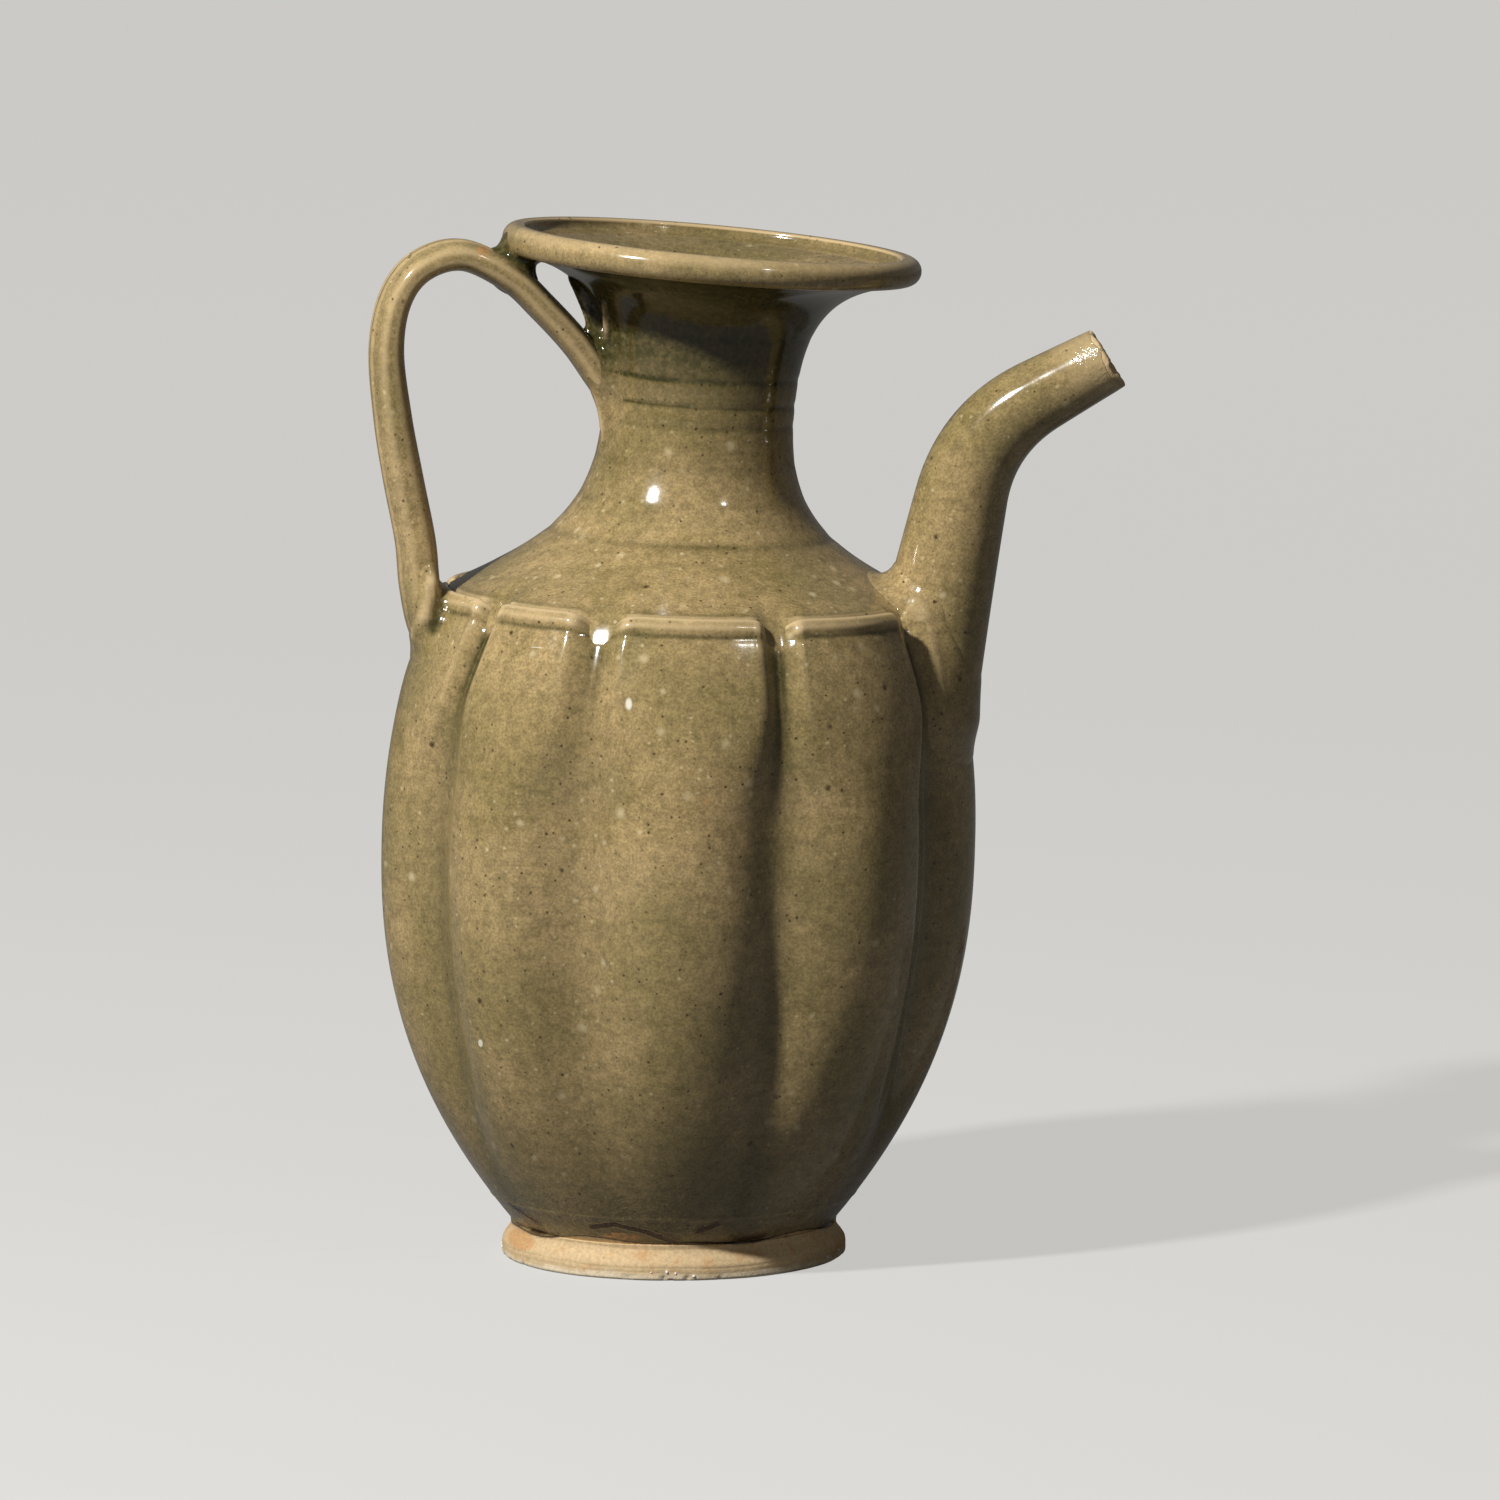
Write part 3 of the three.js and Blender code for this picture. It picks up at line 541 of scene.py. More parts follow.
def ewer_material(name):
    """Glaze where the bare value is 0, fired clay where it is 1, and a burnt line between them."""
    material, nodes, shader = new_material(name)
    place = nodes.object_place()
    height = nodes.add("ShaderNodeSeparateXYZ", {"Vector": place}).outputs["Z"]
    fray = nodes.math("MULTIPLY_ADD", nodes.noise(place, 0.9, 3.0, 0.6), 0.5, -0.25)
    bare = nodes.math("ADD", nodes.value_of("bare"), nodes.times(fray, nodes.value_of("frayed")))
    clay_share = nodes.ramp(bare, *CLAY_STARTS)
    burn = nodes.times(nodes.ramp(bare, *BURN_STARTS), nodes.ramp(bare, *BURN_ENDS),
                       nodes.without(nodes.value_of("broken")))
    # The burnt value also holds painted shade along the slits in the glaze.
    burn = nodes.times(nodes.most(burn, nodes.value_of("burnt")), BURN_SHARE)
    colour = nodes.mix(clay_share, glaze_colour(nodes, place), clay_colour(nodes, place, height))
    nodes.feed(shader.inputs["Base Color"], nodes.mix(burn, colour, CLAY_BURNT_AND_SHADE))
    gloss = nodes.patches(place, *GLAZE_ROUGHNESS)
    nodes.feed(shader.inputs["Roughness"], nodes.blend(clay_share, gloss, CLAY_ROUGHNESS))

    ripples = nodes.times(nodes.noise(place, 4.6, 0.0), 0.5)
    thick_edge = nodes.times(nodes.hump(bare, 0.2, 0.16), 1.6)
    peel = nodes.times(nodes.noise(place, 0.65, 2.0, 0.65), 0.08)
    smooth_glaze = nodes.math("ADD", nodes.math("ADD", ripples, thick_edge), peel)
    coarse = nodes.times(nodes.noise(place, 1.3, 5.0, 0.7), 1.5)
    rough_clay = nodes.math("ADD", coarse, nodes.noise(place, 0.28))
    relief = {"Height": nodes.blend(clay_share, smooth_glaze, rough_clay)}
    relief.update({"Strength": RELIEF_SHARE, "Distance": RELIEF_HEIGHT})
    nodes.feed(shader.inputs["Normal"], nodes.add("ShaderNodeBump", relief).outputs["Normal"])
    return material


celadon = ewer_material("olive_celadon")
stoneware = ewer_material("fired_stoneware")
print("materials:", celadon.name, stoneware.name)

# %% Finish a piece: its material, its body, and the solids that it stands for
def finish_piece(piece, material, slot, *nodes):
    """Gives a piece its material, ties it to the pot and prints its size."""
    piece.data.materials.clear()
    piece.data.materials.append(material)
    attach(piece, "root")
    if nodes:
        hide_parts(*nodes)
    size = (np.ptp(points_of(piece.data), 0) / MM).round(1)
    print(piece.name, len(piece.data.polygons), "faces,", size, "mm")


# %% [markdown]
# ## The lobed body
# The body was thrown round and then, while leather-hard, pressed and carved from outside into nine
# lobes. By hand no two lobes are alike, so the grooves stand at uneven azimuths and wander a little
# on their way down. The rule for their depth is simple, though: a narrow channel at the ledge turns
# into a soft valley and fades out above the foot. Geometry Nodes press that rule into a turned
# skin, because then depth, width and ridge stay inputs that can be changed and seen at once.

# %% The lobes' crest line
def crest_radius(height):
    """The radius of the lobes' crests: fullest at the belly, drawn in to the ledge and the foot."""
    rise = np.clip((height - FOOT_HEIGHT) / (BELLY_HEIGHT - FOOT_HEIGHT), 0, 1)
    close = np.clip((height - BELLY_HEIGHT) / (LEDGE_HEIGHT - BELLY_HEIGHT), 0, 1)
    below = lerp(BODY_BASE_RADIUS, BELLY_RADIUS, 1 - (1 - rise) ** BELLY_RISE_POWER)
    above = lerp(BELLY_RADIUS, LEDGE_RADIUS, close ** LEDGE_CLOSE_POWER)
    return np.where(height < BELLY_HEIGHT, below, above)


# %% Where the grooves run, and how wide each one is
GROOVE_AZIMUTHS_BELLY = np.array([-138.0, -98.0, -58.6, -21.1, 21.8, 64.8, 102.0, 142.0, 182.0])
GROOVE_AZIMUTHS_LEDGE = np.array([-138.0, -98.0, -52.0, -20.0, 22.0, 62.0, 102.0, 142.0, 182.0])
GROOVE_WIDTH_SHARES = np.array([1.0, 0.95, 0.8, 1.12, 0.85, 0.8, 1.0, 1.05, 0.95])
RIDGE_REACH_BEFORE = np.array([26.0, 30.0, 85.0, 28.0, 24.0, 115.0, 26.0, 60.0, 30.0])
RIDGE_REACH_AFTER = np.array([40.0, 26.0, 30.0, 26.0, 28.0, 30.0, 55.0, 26.0, 28.0])
GROOVES = len(GROOVE_AZIMUTHS_BELLY)
COLUMNS_PER_LOBE = 48
CROWDING_POWER = 1.6


def lobe_columns(heights):
    """Azimuths of the skin's columns at each height, crowded towards the grooves, with each
    column's angle from its nearest groove, its share of the way to the lobe's middle, and that
    groove's number."""
    drift = smooth(heights, BELLY_HEIGHT, LEDGE_HEIGHT)[:, None]
    grooves = lerp(GROOVE_AZIMUTHS_BELLY, GROOVE_AZIMUTHS_LEDGE, drift)[..., None]
    widths = (np.roll(grooves, -1, 1) - grooves) % 360
    steps = np.arange(COLUMNS_PER_LOBE) / COLUMNS_PER_LOBE
    before = steps < 0.5
    share = (1 - np.abs(2 * steps - 1)) ** CROWDING_POWER
    azimuths = grooves + widths * np.where(before, share / 2, 1 - share / 2)
    angles = widths * np.where(before, share / 2, -share / 2)
    numbers = (np.arange(GROOVES)[:, None] + np.where(before, 0, 1)) % GROOVES
    shape = (len(heights), GROOVES * COLUMNS_PER_LOBE)
    parts = (azimuths, angles, share, numbers)
    return [np.broadcast_to(part, azimuths.shape).reshape(shape) for part in parts]


# %% The body's outline, from the middle of its underside to the middle of its floor
LEDGE_EDGE = 0.9
BELT_HEIGHT = 13.2
BELT_PROUD = 0.14
BELT_WIDTH = 0.45
CENTRE_RADIUS = 12.0
EDGE_START = radians(26)
BODY_BOTTOM = FOOT_HEIGHT + 0.05
WALL_START = 15.5
BEAD_START = 130.0
BOWL_POWER = 2.35

wall_stretches = [np.linspace(BODY_BOTTOM, WALL_START, 28),
                  np.linspace(WALL_START, BEAD_START, 92)[1:],
                  np.linspace(BEAD_START, LEDGE_HEIGHT - LEDGE_EDGE * (1 - sin(EDGE_START)), 34)[1:]]
outer_heights = np.concatenate(wall_stretches)
outer_radii = crest_radius(outer_heights) + BELT_PROUD * bump_at(outer_heights, BELT_HEIGHT, BELT_WIDTH)
edge_turn = np.linspace(EDGE_START, pi / 2, 6)[1:]
edge_radii = outer_radii[-1] + LEDGE_EDGE * (np.cos(edge_turn) - cos(EDGE_START))
edge_heights = outer_heights[-1] + LEDGE_EDGE * (np.sin(edge_turn) - sin(EDGE_START))
back_radii = edge_radii[-1] - np.array([0.4, 0.8, 1.2, 2.4])
back_heights = LEDGE_HEIGHT - np.array([0.1, 0.45, 1.2, 2.6])
inner_heights = np.linspace(LEDGE_HEIGHT - 5, BELLY_HEIGHT, 10)
inner_radii = crest_radius(inner_heights) - BODY_WALL
bowl_turn = np.linspace(0, pi / 2, 12)[1:-1]
bowl_heights = lerp(BELLY_HEIGHT, FLOOR_HEIGHT, np.sin(bowl_turn))
bowl_rise = (bowl_heights - FLOOR_HEIGHT) / (BELLY_HEIGHT - FLOOR_HEIGHT)
bowl_radii = (BELLY_RADIUS - BODY_WALL) * (1 - (1 - bowl_rise) ** BOWL_POWER) ** (1 / BOWL_POWER)
body_heights = np.concatenate([[BODY_BOTTOM], outer_heights, edge_heights, back_heights,
                               inner_heights, bowl_heights, [FLOOR_HEIGHT]])
body_radii = np.concatenate([[CENTRE_RADIUS], outer_radii, edge_radii, back_radii,
                             inner_radii, bowl_radii, [CENTRE_RADIUS]])
OUTER_ROWS = slice(1, 1 + len(outer_heights) + len(edge_heights) + len(back_heights))
print("body outline:", len(body_heights), "points")

# %% The turned skin that the nodes will press
azimuths, groove_angles, lobe_shares, groove_numbers = lobe_columns(body_heights)
upright_body = around(azimuths, body_radii[:, None], body_heights[:, None])
carved = np.zeros(upright_body.shape[:2])
carved[OUTER_ROWS] = 1
ridge_reach = np.where(groove_angles < 0, RIDGE_REACH_BEFORE[groove_numbers],
                       RIDGE_REACH_AFTER[groove_numbers])
body_fields = {
    "height": np.broadcast_to(body_heights[:, None], carved.shape),
    "groove_angle": np.abs(groove_angles),
    "groove_width": GROOVE_WIDTH_SHARES[groove_numbers],
    "lobe_share": lobe_shares,
    "ridge_reach": ridge_reach,
    "carved": carved,
}
turned_body = skin("turned_body", upright_body * MM, ring=False)
for field_name, field_values in body_fields.items():
    paint(turned_body.data, field_name, field_values)

# %% The sizes that the lobe tree takes, in millimetres and degrees
LOBE_INPUTS = {
    "Ledge height": LEDGE_HEIGHT, "Fade height": 10.0, "Full height": 60.0,
    "Soft height": 98.0, "Crisp height": 124.0,
    "Low depth": 2.4, "Top depth": 2.5, "Low swell": 3.6, "Top swell": 0.8,
    "Low half angle": 7.6, "Top half angle": 3.9, "Low sharpness": 2.0, "Top sharpness": 2.3,
    "Ridge height": 0.4, "Ridge place": 1.45, "Ridge width": 0.3,
    "Bead height": 0.6, "Bead drop": 1.45, "Bead width": 1.35,
    "Line depth": 0.1, "Line drop": 3.7, "Line width": 0.8, "Top sink": 3.6, "Sink reach": 7.0,
}


# %% Open, close and apply a geometry tree
def open_tree(name, sizes, material):
    """A tree that takes a skin, named sizes and a material. Returns its helper and its inputs."""
    tree = bpy.data.node_groups.new(name, "GeometryNodeTree")
    kinds = {"Geometry": "Geometry"}
    kinds.update({label: "Int" if isinstance(size, int) else "Float" for label, size in sizes.items()})
    kinds[material] = "Material"
    for label, kind in kinds.items():
        tree.interface.new_socket(label, in_out="INPUT", socket_type="NodeSocket" + kind)
    tree.interface.new_socket("Geometry", in_out="OUTPUT", socket_type="NodeSocketGeometry")
    return Nodes(tree), tree.nodes.new("NodeGroupInput").outputs


def close_tree(nodes, geometry, material):
    """Makes instances real, gives everything its material and hands it out of the tree."""
    real = nodes.add("GeometryNodeRealizeInstances", {"Geometry": geometry})
    coated = nodes.add("GeometryNodeSetMaterial", {"Geometry": real.outputs[0], "Material": material})
    nodes.feed(nodes.add("NodeGroupOutput").inputs[0], coated.outputs[0])
    return nodes.tree


def apply_tree(piece, tree, values, name):
    """Runs a tree on a piece and returns its result as a plain object in the piece's place."""
    modifier = piece.modifiers.new(tree.name, "NODES")
    modifier.node_group = tree
    for item in tree.interface.items_tree:
        if item.in_out == "INPUT" and item.name in values:
            modifier[item.identifier] = values[item.name]
    graph = bpy.context.evaluated_depsgraph_get()
    mesh = bpy.data.meshes.new_from_object(piece.evaluated_get(graph))
    mesh.name = name
    bpy.data.objects.remove(piece)
    return new_object(name, mesh)


# %% The tree that presses the lobes
def lobe_tree():
    """Presses valleys into the skin, raises the bead and the ridges on its outside, and lets the
    ledge sink where a valley meets it."""
    nodes, given = open_tree("press_lobes", LOBE_INPUTS, "Glaze")
    height = nodes.field("height")

    crisp = nodes.ramp(height, given["Soft height"], given["Crisp height"])
    fade = nodes.ramp(height, given["Fade height"], given["Full height"])

    def by_height(size):
        return nodes.blend(crisp, given["Low " + size], given["Top " + size])

    def line_of(value, centre, width, height):
        return nodes.times(nodes.hump(value, given[centre], given[width]), given[height])

    half = nodes.times(by_height("half angle"), nodes.field("groove_width"))
    near = nodes.math("DIVIDE", nodes.field("groove_angle"), half)
    fall = nodes.times(nodes.math("POWER", near, by_height("sharpness")), -1.0)
    fall = nodes.math("EXPONENT", fall)
    depth = nodes.times(fall, fade, by_height("depth"))
    flank = nodes.math("COSINE", nodes.times(nodes.field("lobe_share"), pi))
    flank = nodes.math("MULTIPLY_ADD", flank, 0.5, 0.5)
    swell = nodes.times(flank, fade, by_height("swell"))

    down = nodes.math("SUBTRACT", given["Ledge height"], height)
    left_over = nodes.ramp(down, 0.0, nodes.field("ridge_reach"), 1.0, 0.0)
    ridge = nodes.times(line_of(near, "Ridge place", "Ridge width", "Ridge height"), left_over, fade)
    bead = line_of(down, "Bead drop", "Bead width", "Bead height")
    incised = line_of(down, "Line drop", "Line width", "Line depth")
    trim = nodes.times(nodes.math("SUBTRACT", bead, incised), nodes.without(fall))
    raised = nodes.math("SUBTRACT", nodes.math("ADD", ridge, trim), depth)
    proud = nodes.math("SUBTRACT", nodes.times(raised, nodes.field("carved")), swell)
    sink = nodes.times(fall, nodes.ramp(down, 0.0, given["Sink reach"], 1.0, 0.0), given["Top sink"])

    place = nodes.add("GeometryNodeInputPosition").outputs[0]
    outward = nodes.vector("NORMALIZE", nodes.vector("MULTIPLY", place, (1.0, 1.0, 0.0)))
    sideways = nodes.vector("SCALE", outward, Scale=nodes.times(proud, MM))
    sunk = nodes.add("ShaderNodeCombineXYZ", {"Z": nodes.times(sink, -MM)}).outputs[0]
    moved = {"Geometry": given["Geometry"], "Offset": nodes.vector("ADD", sideways, sunk)}
    return close_tree(nodes, nodes.add("GeometryNodeSetPosition", moved).outputs[0], given["Glaze"])


# %% Press the lobes, then lean the body
celadon_body = apply_tree(turned_body, lobe_tree(), {**LOBE_INPUTS, "Glaze": celadon}, "lobed_body_skin")
leaned_body = lean(points_of(celadon_body.data) / MM)
body_grid = leaned_body[:-2].reshape(upright_body.shape)
move_points(celadon_body.data, leaned_body)
print("deepest valley:", LOBE_INPUTS["Low depth"] + LOBE_INPUTS["Low swell"], "mm")

# %% [markdown]
# ## Where the glaze stops
# The ewer was held by its foot when it was dipped, so the glaze ends in a wavering line just above
# the foot ring, thick at its edge, with a burnt line where it thins to nothing. The line is one
# function of the azimuth, so that body and foot ring, which are separate pieces, agree on it.

# %% Distance to a line
FAR_AWAY = 99.0


def roll_distance(places, line, radii):
    """Millimetres from each place to a roll along a line of points, with a radius for each."""
    line = np.array(line, float)
    nearest = np.full(places.shape[:-1], FAR_AWAY)
    for start, end, first, last in zip(line, line[1:], radii, radii[1:]):
        run = end - start
        share = np.clip(((places - start) @ run) / (run @ run), 0, 1)
        away = np.linalg.norm(places - start - share[..., None] * run, axis=-1)
        nearest = np.minimum(nearest, away - lerp(first, last, share))
    return nearest


# %% The glaze's edge round the foot, and slits above it: rows of azimuth and height
GLAZE_EDGE_HEIGHT = 7.5
GLAZE_EDGE_WAVES = ((2, 0), (3, 0), (5, 0), (9, 0))
GLAZE_EDGE_SWAY = 1.5
GLAZE_EDGE_SOFTNESS = 0.55
CRAWLS = (
    ((-27.0, 10.9), (-18.5, 12.0), (-8.0, 10.4), (1.0, 7.9)),
    ((8.3, 10.6), (14.6, 12.2)),
    ((-62.0, 12.9), (-51.0, 10.0)),
    ((118.0, 10.4), (129.0, 11.8), (139.0, 10.2)),
)
CRAWL_HALF_WIDTH = 0.5
CRAWL_BARENESS = 0.48
# The dark line along each slit is burnt clay with painted shade under the lifted glaze.
CRAWL_BURN_AND_SHADE_WIDTH = 0.62
PATCH_WAVES = ((4, 0), (9, 0), (17, 0))
PATCH_RISE = 0.9


def glaze_edge(azimuth):
    """Height of the glaze's lower edge."""
    return GLAZE_EDGE_HEIGHT + GLAZE_EDGE_SWAY * ripple(azimuth, 0, GLAZE_EDGE_WAVES, 11)


def crawl_distance(azimuth, height):
    """Millimetres to the nearest slit where the glaze drew back from itself."""
    millimetres = np.array([BODY_BASE_RADIUS * radians(1), 1])
    nearest = []
    for line in CRAWLS:
        start = np.array([line[0][0], 0])
        side = (azimuth - start[0] + 180) % 360 - 180
        places = np.stack(np.broadcast_arrays(side, height), -1) * millimetres
        nearest.append(roll_distance(places, (line - start) * millimetres, [0] * len(line)))
    return np.minimum.reduce(nearest)


def bareness(azimuth, height):
    """1 below the glaze's edge, about half in the slits and 0 elsewhere, with soft steps between."""
    edge_height = glaze_edge(azimuth)
    below = 1 - smooth(height, edge_height - GLAZE_EDGE_SOFTNESS, edge_height + GLAZE_EDGE_SOFTNESS)
    slit = 1 - smooth(crawl_distance(azimuth, height), CRAWL_HALF_WIDTH * 0.5, CRAWL_HALF_WIDTH * 2)
    return np.maximum(below, slit * CRAWL_BARENESS)


def burnt_patches_and_slit_shade(azimuth, height):
    """Red-brown patches where the glaze's edge ran thin over iron, and dark lines along the slits:
    burnt clay, and painted shade under the lifted glaze.
    """
    patch = smooth(ripple(azimuth, 0, PATCH_WAVES, 4), 0.15, 0.6)
    patch = patch * bump_at(height, glaze_edge(azimuth) + PATCH_RISE, PATCH_RISE)
    return np.maximum(patch, bump_at(crawl_distance(azimuth, height), 0, CRAWL_BURN_AND_SHADE_WIDTH))


# %% Coat the body
LOW_DARKENING = 0.4
VALLEY_POOL_AND_SHADE = (0.28, 0.36)
POOL_AND_SHADE_UNDER_BEAD = 0.2
BEAD_THIN_AND_HIGHLIGHT = 0.14
FRAYED_BELOW = (24, 16)

crispness = smooth(body_heights, LOBE_INPUTS["Soft height"], LOBE_INPUTS["Crisp height"])
channel_half = lerp(LOBE_INPUTS["Low half angle"], LOBE_INPUTS["Top half angle"], crispness)
channel_half = channel_half[:, None] * GROOVE_WIDTH_SHARES[groove_numbers]
in_valley = np.exp(-(groove_angles / channel_half) ** 2)
under_bead = bump_at(body_heights, LEDGE_HEIGHT - LOBE_INPUTS["Line drop"], 0.6)[:, None]
on_bead = bump_at(body_heights, LEDGE_HEIGHT - LOBE_INPUTS["Bead drop"], 1.3)[:, None]
body_thin_and_highlight, body_pool_and_shade = glaze_flow(body_grid, 2, ring=False)
# A paler bead: glaze thin over it, and a painted highlight.
body_thin_and_highlight = np.clip(body_thin_and_highlight + BEAD_THIN_AND_HIGHLIGHT * on_bead * (1 - in_valley), 0, 1)
# Darker and greener towards the foot.
body_pool_and_shade = body_pool_and_shade + LOW_DARKENING * smooth(body_heights, 58, 12)[:, None]
# Valleys darker and greener: glaze pooled in them, and painted shade.
body_pool_and_shade = body_pool_and_shade + in_valley * lerp(*VALLEY_POOL_AND_SHADE, smooth(body_heights, 108, 130))[:, None]
# A soft dark line under the bead: glaze pooled in the incised line, and painted shade under the bead.
body_pool_and_shade = np.clip(body_pool_and_shade + POOL_AND_SHADE_UNDER_BEAD * under_bead * (1 - in_valley), 0, 1)
body_bare, body_burnt_and_shade = np.zeros(carved.shape), np.zeros(carved.shape)
outside = azimuths[OUTER_ROWS], body_heights[OUTER_ROWS][:, None]
body_bare[OUTER_ROWS] = bareness(*outside)
body_burnt_and_shade[OUTER_ROWS] = burnt_patches_and_slit_shade(*outside)
body_bare[0] = 1
coat(celadon_body, carved.shape, thin=body_thin_and_highlight, pool=body_pool_and_shade, bare=body_bare,
     frayed=smooth(body_heights, *FRAYED_BELOW)[:, None], burnt=body_burnt_and_shade)
finish_piece(celadon_body, celadon, "celadon_glaze", "lobed_body")

# %% [markdown]
# ## Shoulder, neck and dish mouth
# These are three thrown pieces, but their outside is one flowing line from the ledge over the waist
# to the rolled lip. Three separate profiles would show their joints as creases. So one line is
# drawn with two curves and a lip, and then cut in three, each part with its own inner wall.

# %% Draw the line
def curve(points, shares):
    """A curve from the first point to the last that the points between them pull aside."""
    points = [np.array(point, float) for point in points]
    while len(points) > 1:
        points = [lerp(start, end, shares[:, None]) for start, end in zip(points, points[1:])]
    return points[0]


def stretches(line):
    return np.linalg.norm(np.diff(line, axis=0), axis=1)


def even(line, steps, first=0.0, last=1.0):
    """Points at even distances along part of a line."""
    lengths = np.concatenate([[0], np.cumsum(stretches(line))])
    at = np.linspace(first, last, steps + 1) * lengths[-1]
    return np.stack([np.interp(at, lengths, line[:, axis]) for axis in range(line.shape[1])], 1)


def left_of(line):
    """Unit normals of a line in the plane of radius and height, pointing out of the clay."""
    ahead = np.gradient(line, axis=0)
    normals = np.stack([ahead[:, 1], -ahead[:, 0]], 1)
    return normals / np.linalg.norm(normals, axis=1, keepdims=True)


SHOULDER_RADIUS = LEDGE_RADIUS - GROOVE_DEPTH
LIP_BOTTOM = MOUTH_HEIGHT - 2 * LIP_HALF_HEIGHT
LIP_CENTRE = (MOUTH_RADIUS - LIP_ROUND, MOUTH_HEIGHT - LIP_HALF_HEIGHT - 0.12)
SHOULDER_PULLS = ((31, 149.6), (20, 156))
DISH_PULLS = ((20, 197.5), (25.1, 205.7))
SHOULDER_SEAM = 0.45
MOUTH_SEAM = 0.42
fine = np.linspace(0, 1, 400)
waist = (WAIST_RADIUS, WAIST_HEIGHT)
lower_sweep = curve([(SHOULDER_RADIUS, LEDGE_HEIGHT + 0.1), *SHOULDER_PULLS, waist], fine)
upper_sweep = curve([waist, *DISH_PULLS, (LIP_CENTRE[0], LIP_BOTTOM)], fine)

# %% Rows of the outside: a skirt hidden behind the ledge, then shoulder, neck and dish
SKIRT_FOOT = 131.0
SKIRT_ROWS = 16
SHOULDER_ROWS = 52
LOWER_NECK_ROWS = 52
UPPER_NECK_ROWS = 34
DISH_ROWS = 46
skirt_heights = np.linspace(SKIRT_FOOT, LEDGE_HEIGHT + 0.1, SKIRT_ROWS + 1)[:-1]
skirt_out = lerp(-0.5, 0.1, smooth(skirt_heights, SKIRT_FOOT, SKIRT_FOOT + 4))
skirt = np.stack([crest_radius(skirt_heights) - GROOVE_DEPTH + skirt_out, skirt_heights], 1)
outside_line = np.concatenate([
    skirt,
    even(lower_sweep, SHOULDER_ROWS, 0, SHOULDER_SEAM),
    even(lower_sweep, LOWER_NECK_ROWS, SHOULDER_SEAM, 1)[1:],
    even(upper_sweep, UPPER_NECK_ROWS, 0, MOUTH_SEAM)[1:],
    even(upper_sweep, DISH_ROWS, MOUTH_SEAM, 1)[1:],
])
SHOULDER_END = SKIRT_ROWS + SHOULDER_ROWS
NECK_END = SHOULDER_END + LOWER_NECK_ROWS + UPPER_NECK_ROWS

# %% Lip, dish and inner wall
LIP_ROWS = 26
INSIDE_START = 5
lip_turn = np.linspace(-pi / 2, pi / 2, LIP_ROWS + 1)[1:]
lip_line = np.stack([LIP_CENTRE[0] + LIP_ROUND * np.cos(lip_turn),
                     LIP_CENTRE[1] + LIP_HALF_HEIGHT * np.sin(lip_turn)], 1)
inside_line = outside_line - THROWN_WALL * left_of(outside_line)
dish_end = len(outside_line) - INSIDE_START
dish_top = curve([lip_line[-1], lip_line[-1] - (2.9, 0), inside_line[dish_end] + (1.9, 1.5),
                  inside_line[dish_end]], np.linspace(0, 1, 16))[1:]

# %% Lines that the potter's fingers left: height, depth and width of each
LINE_POOL = 2.1
NECK_LINES = ((186.0, 0.13, 0.9), (180.6, 0.17, 0.8), (176.2, 0.12, 0.9), (168.0, 0.06, 1.3),
              (160.5, 0.05, 1.4), (195.0, 0.05, 0.9))
SEAM_LINE = (152.6, 0.15, 1.0)


def throwing_lines(line):
    """Presses shallow rings into a line, along its own normals."""
    depth = np.zeros(len(line))
    for height, deep, wide in (*NECK_LINES, SEAM_LINE):
        depth += deep * bump_at(line[:, 1], height, wide)
    return line - left_of(line) * depth[:, None]


outside_line = throwing_lines(outside_line)


# %% At each groove the shoulder rounds over into the channel
ROUNDING_PASSES = 60
ROUNDING_REACH = 11


def rounded_corner(line):
    """The same rows with the corner at the ledge eased into a curve."""
    rows = slice(SKIRT_ROWS - ROUNDING_REACH, SKIRT_ROWS + ROUNDING_REACH)
    eased = line.copy()
    for _ in range(ROUNDING_PASSES):
        stretch = eased[rows]
        stretch[1:-1] = (stretch[:-2] + 2 * stretch[1:-1] + stretch[2:]) / 4
    return eased


WHOLE_LINE = np.concatenate([outside_line, lip_line, dish_top, inside_line[:dish_end][::-1]])
CHANNEL_DEPTH = LOBE_INPUTS["Top depth"] + LOBE_INPUTS["Top swell"]
channel_side = outside_line.copy()
near_ledge = smooth(outside_line[:, 1], LEDGE_HEIGHT + 5, LEDGE_HEIGHT)
channel_side[:, 0] -= (CHANNEL_DEPTH - GROOVE_DEPTH) * near_ledge
CHANNEL_LINE = WHOLE_LINE.copy()
CHANNEL_LINE[:len(outside_line)] = rounded_corner(channel_side)

# %% Turn the whole line once
CHANNEL_SPREAD = 1.3 * LOBE_INPUTS["Top half angle"]
WOBBLE = 0.0025
WOBBLE_WAVES = ((2, 0.043), (3, -0.058))
ledge_columns = lobe_columns(np.array([LEDGE_HEIGHT]))
neck_azimuths, neck_angles = ledge_columns[0][0], ledge_columns[1][0]
neck_widths = GROOVE_WIDTH_SHARES[ledge_columns[3][0]]
in_channel = np.exp(-np.abs(neck_angles / (neck_widths * CHANNEL_SPREAD)) ** 3)
whole_heights = lerp(WHOLE_LINE[:, 1:], CHANNEL_LINE[:, 1:], in_channel)
whole_radii = lerp(WHOLE_LINE[:, :1], CHANNEL_LINE[:, :1], in_channel)
unround = WOBBLE * ripple(neck_azimuths, whole_heights, WOBBLE_WAVES, 6)
whole_radii = whole_radii * (1 + unround * smooth(whole_heights, 141, 160))
whole_grid = lean(around(neck_azimuths, whole_radii, whole_heights))
whole_normals = grid_normals(whole_grid, ring=False)
whole_thin_and_highlight, whole_pool_and_shade = glaze_flow(whole_grid, 2, ring=False)
LIP_START = len(outside_line)
LIP_END = LIP_START + len(lip_line)
WHOLE = len(WHOLE_LINE)
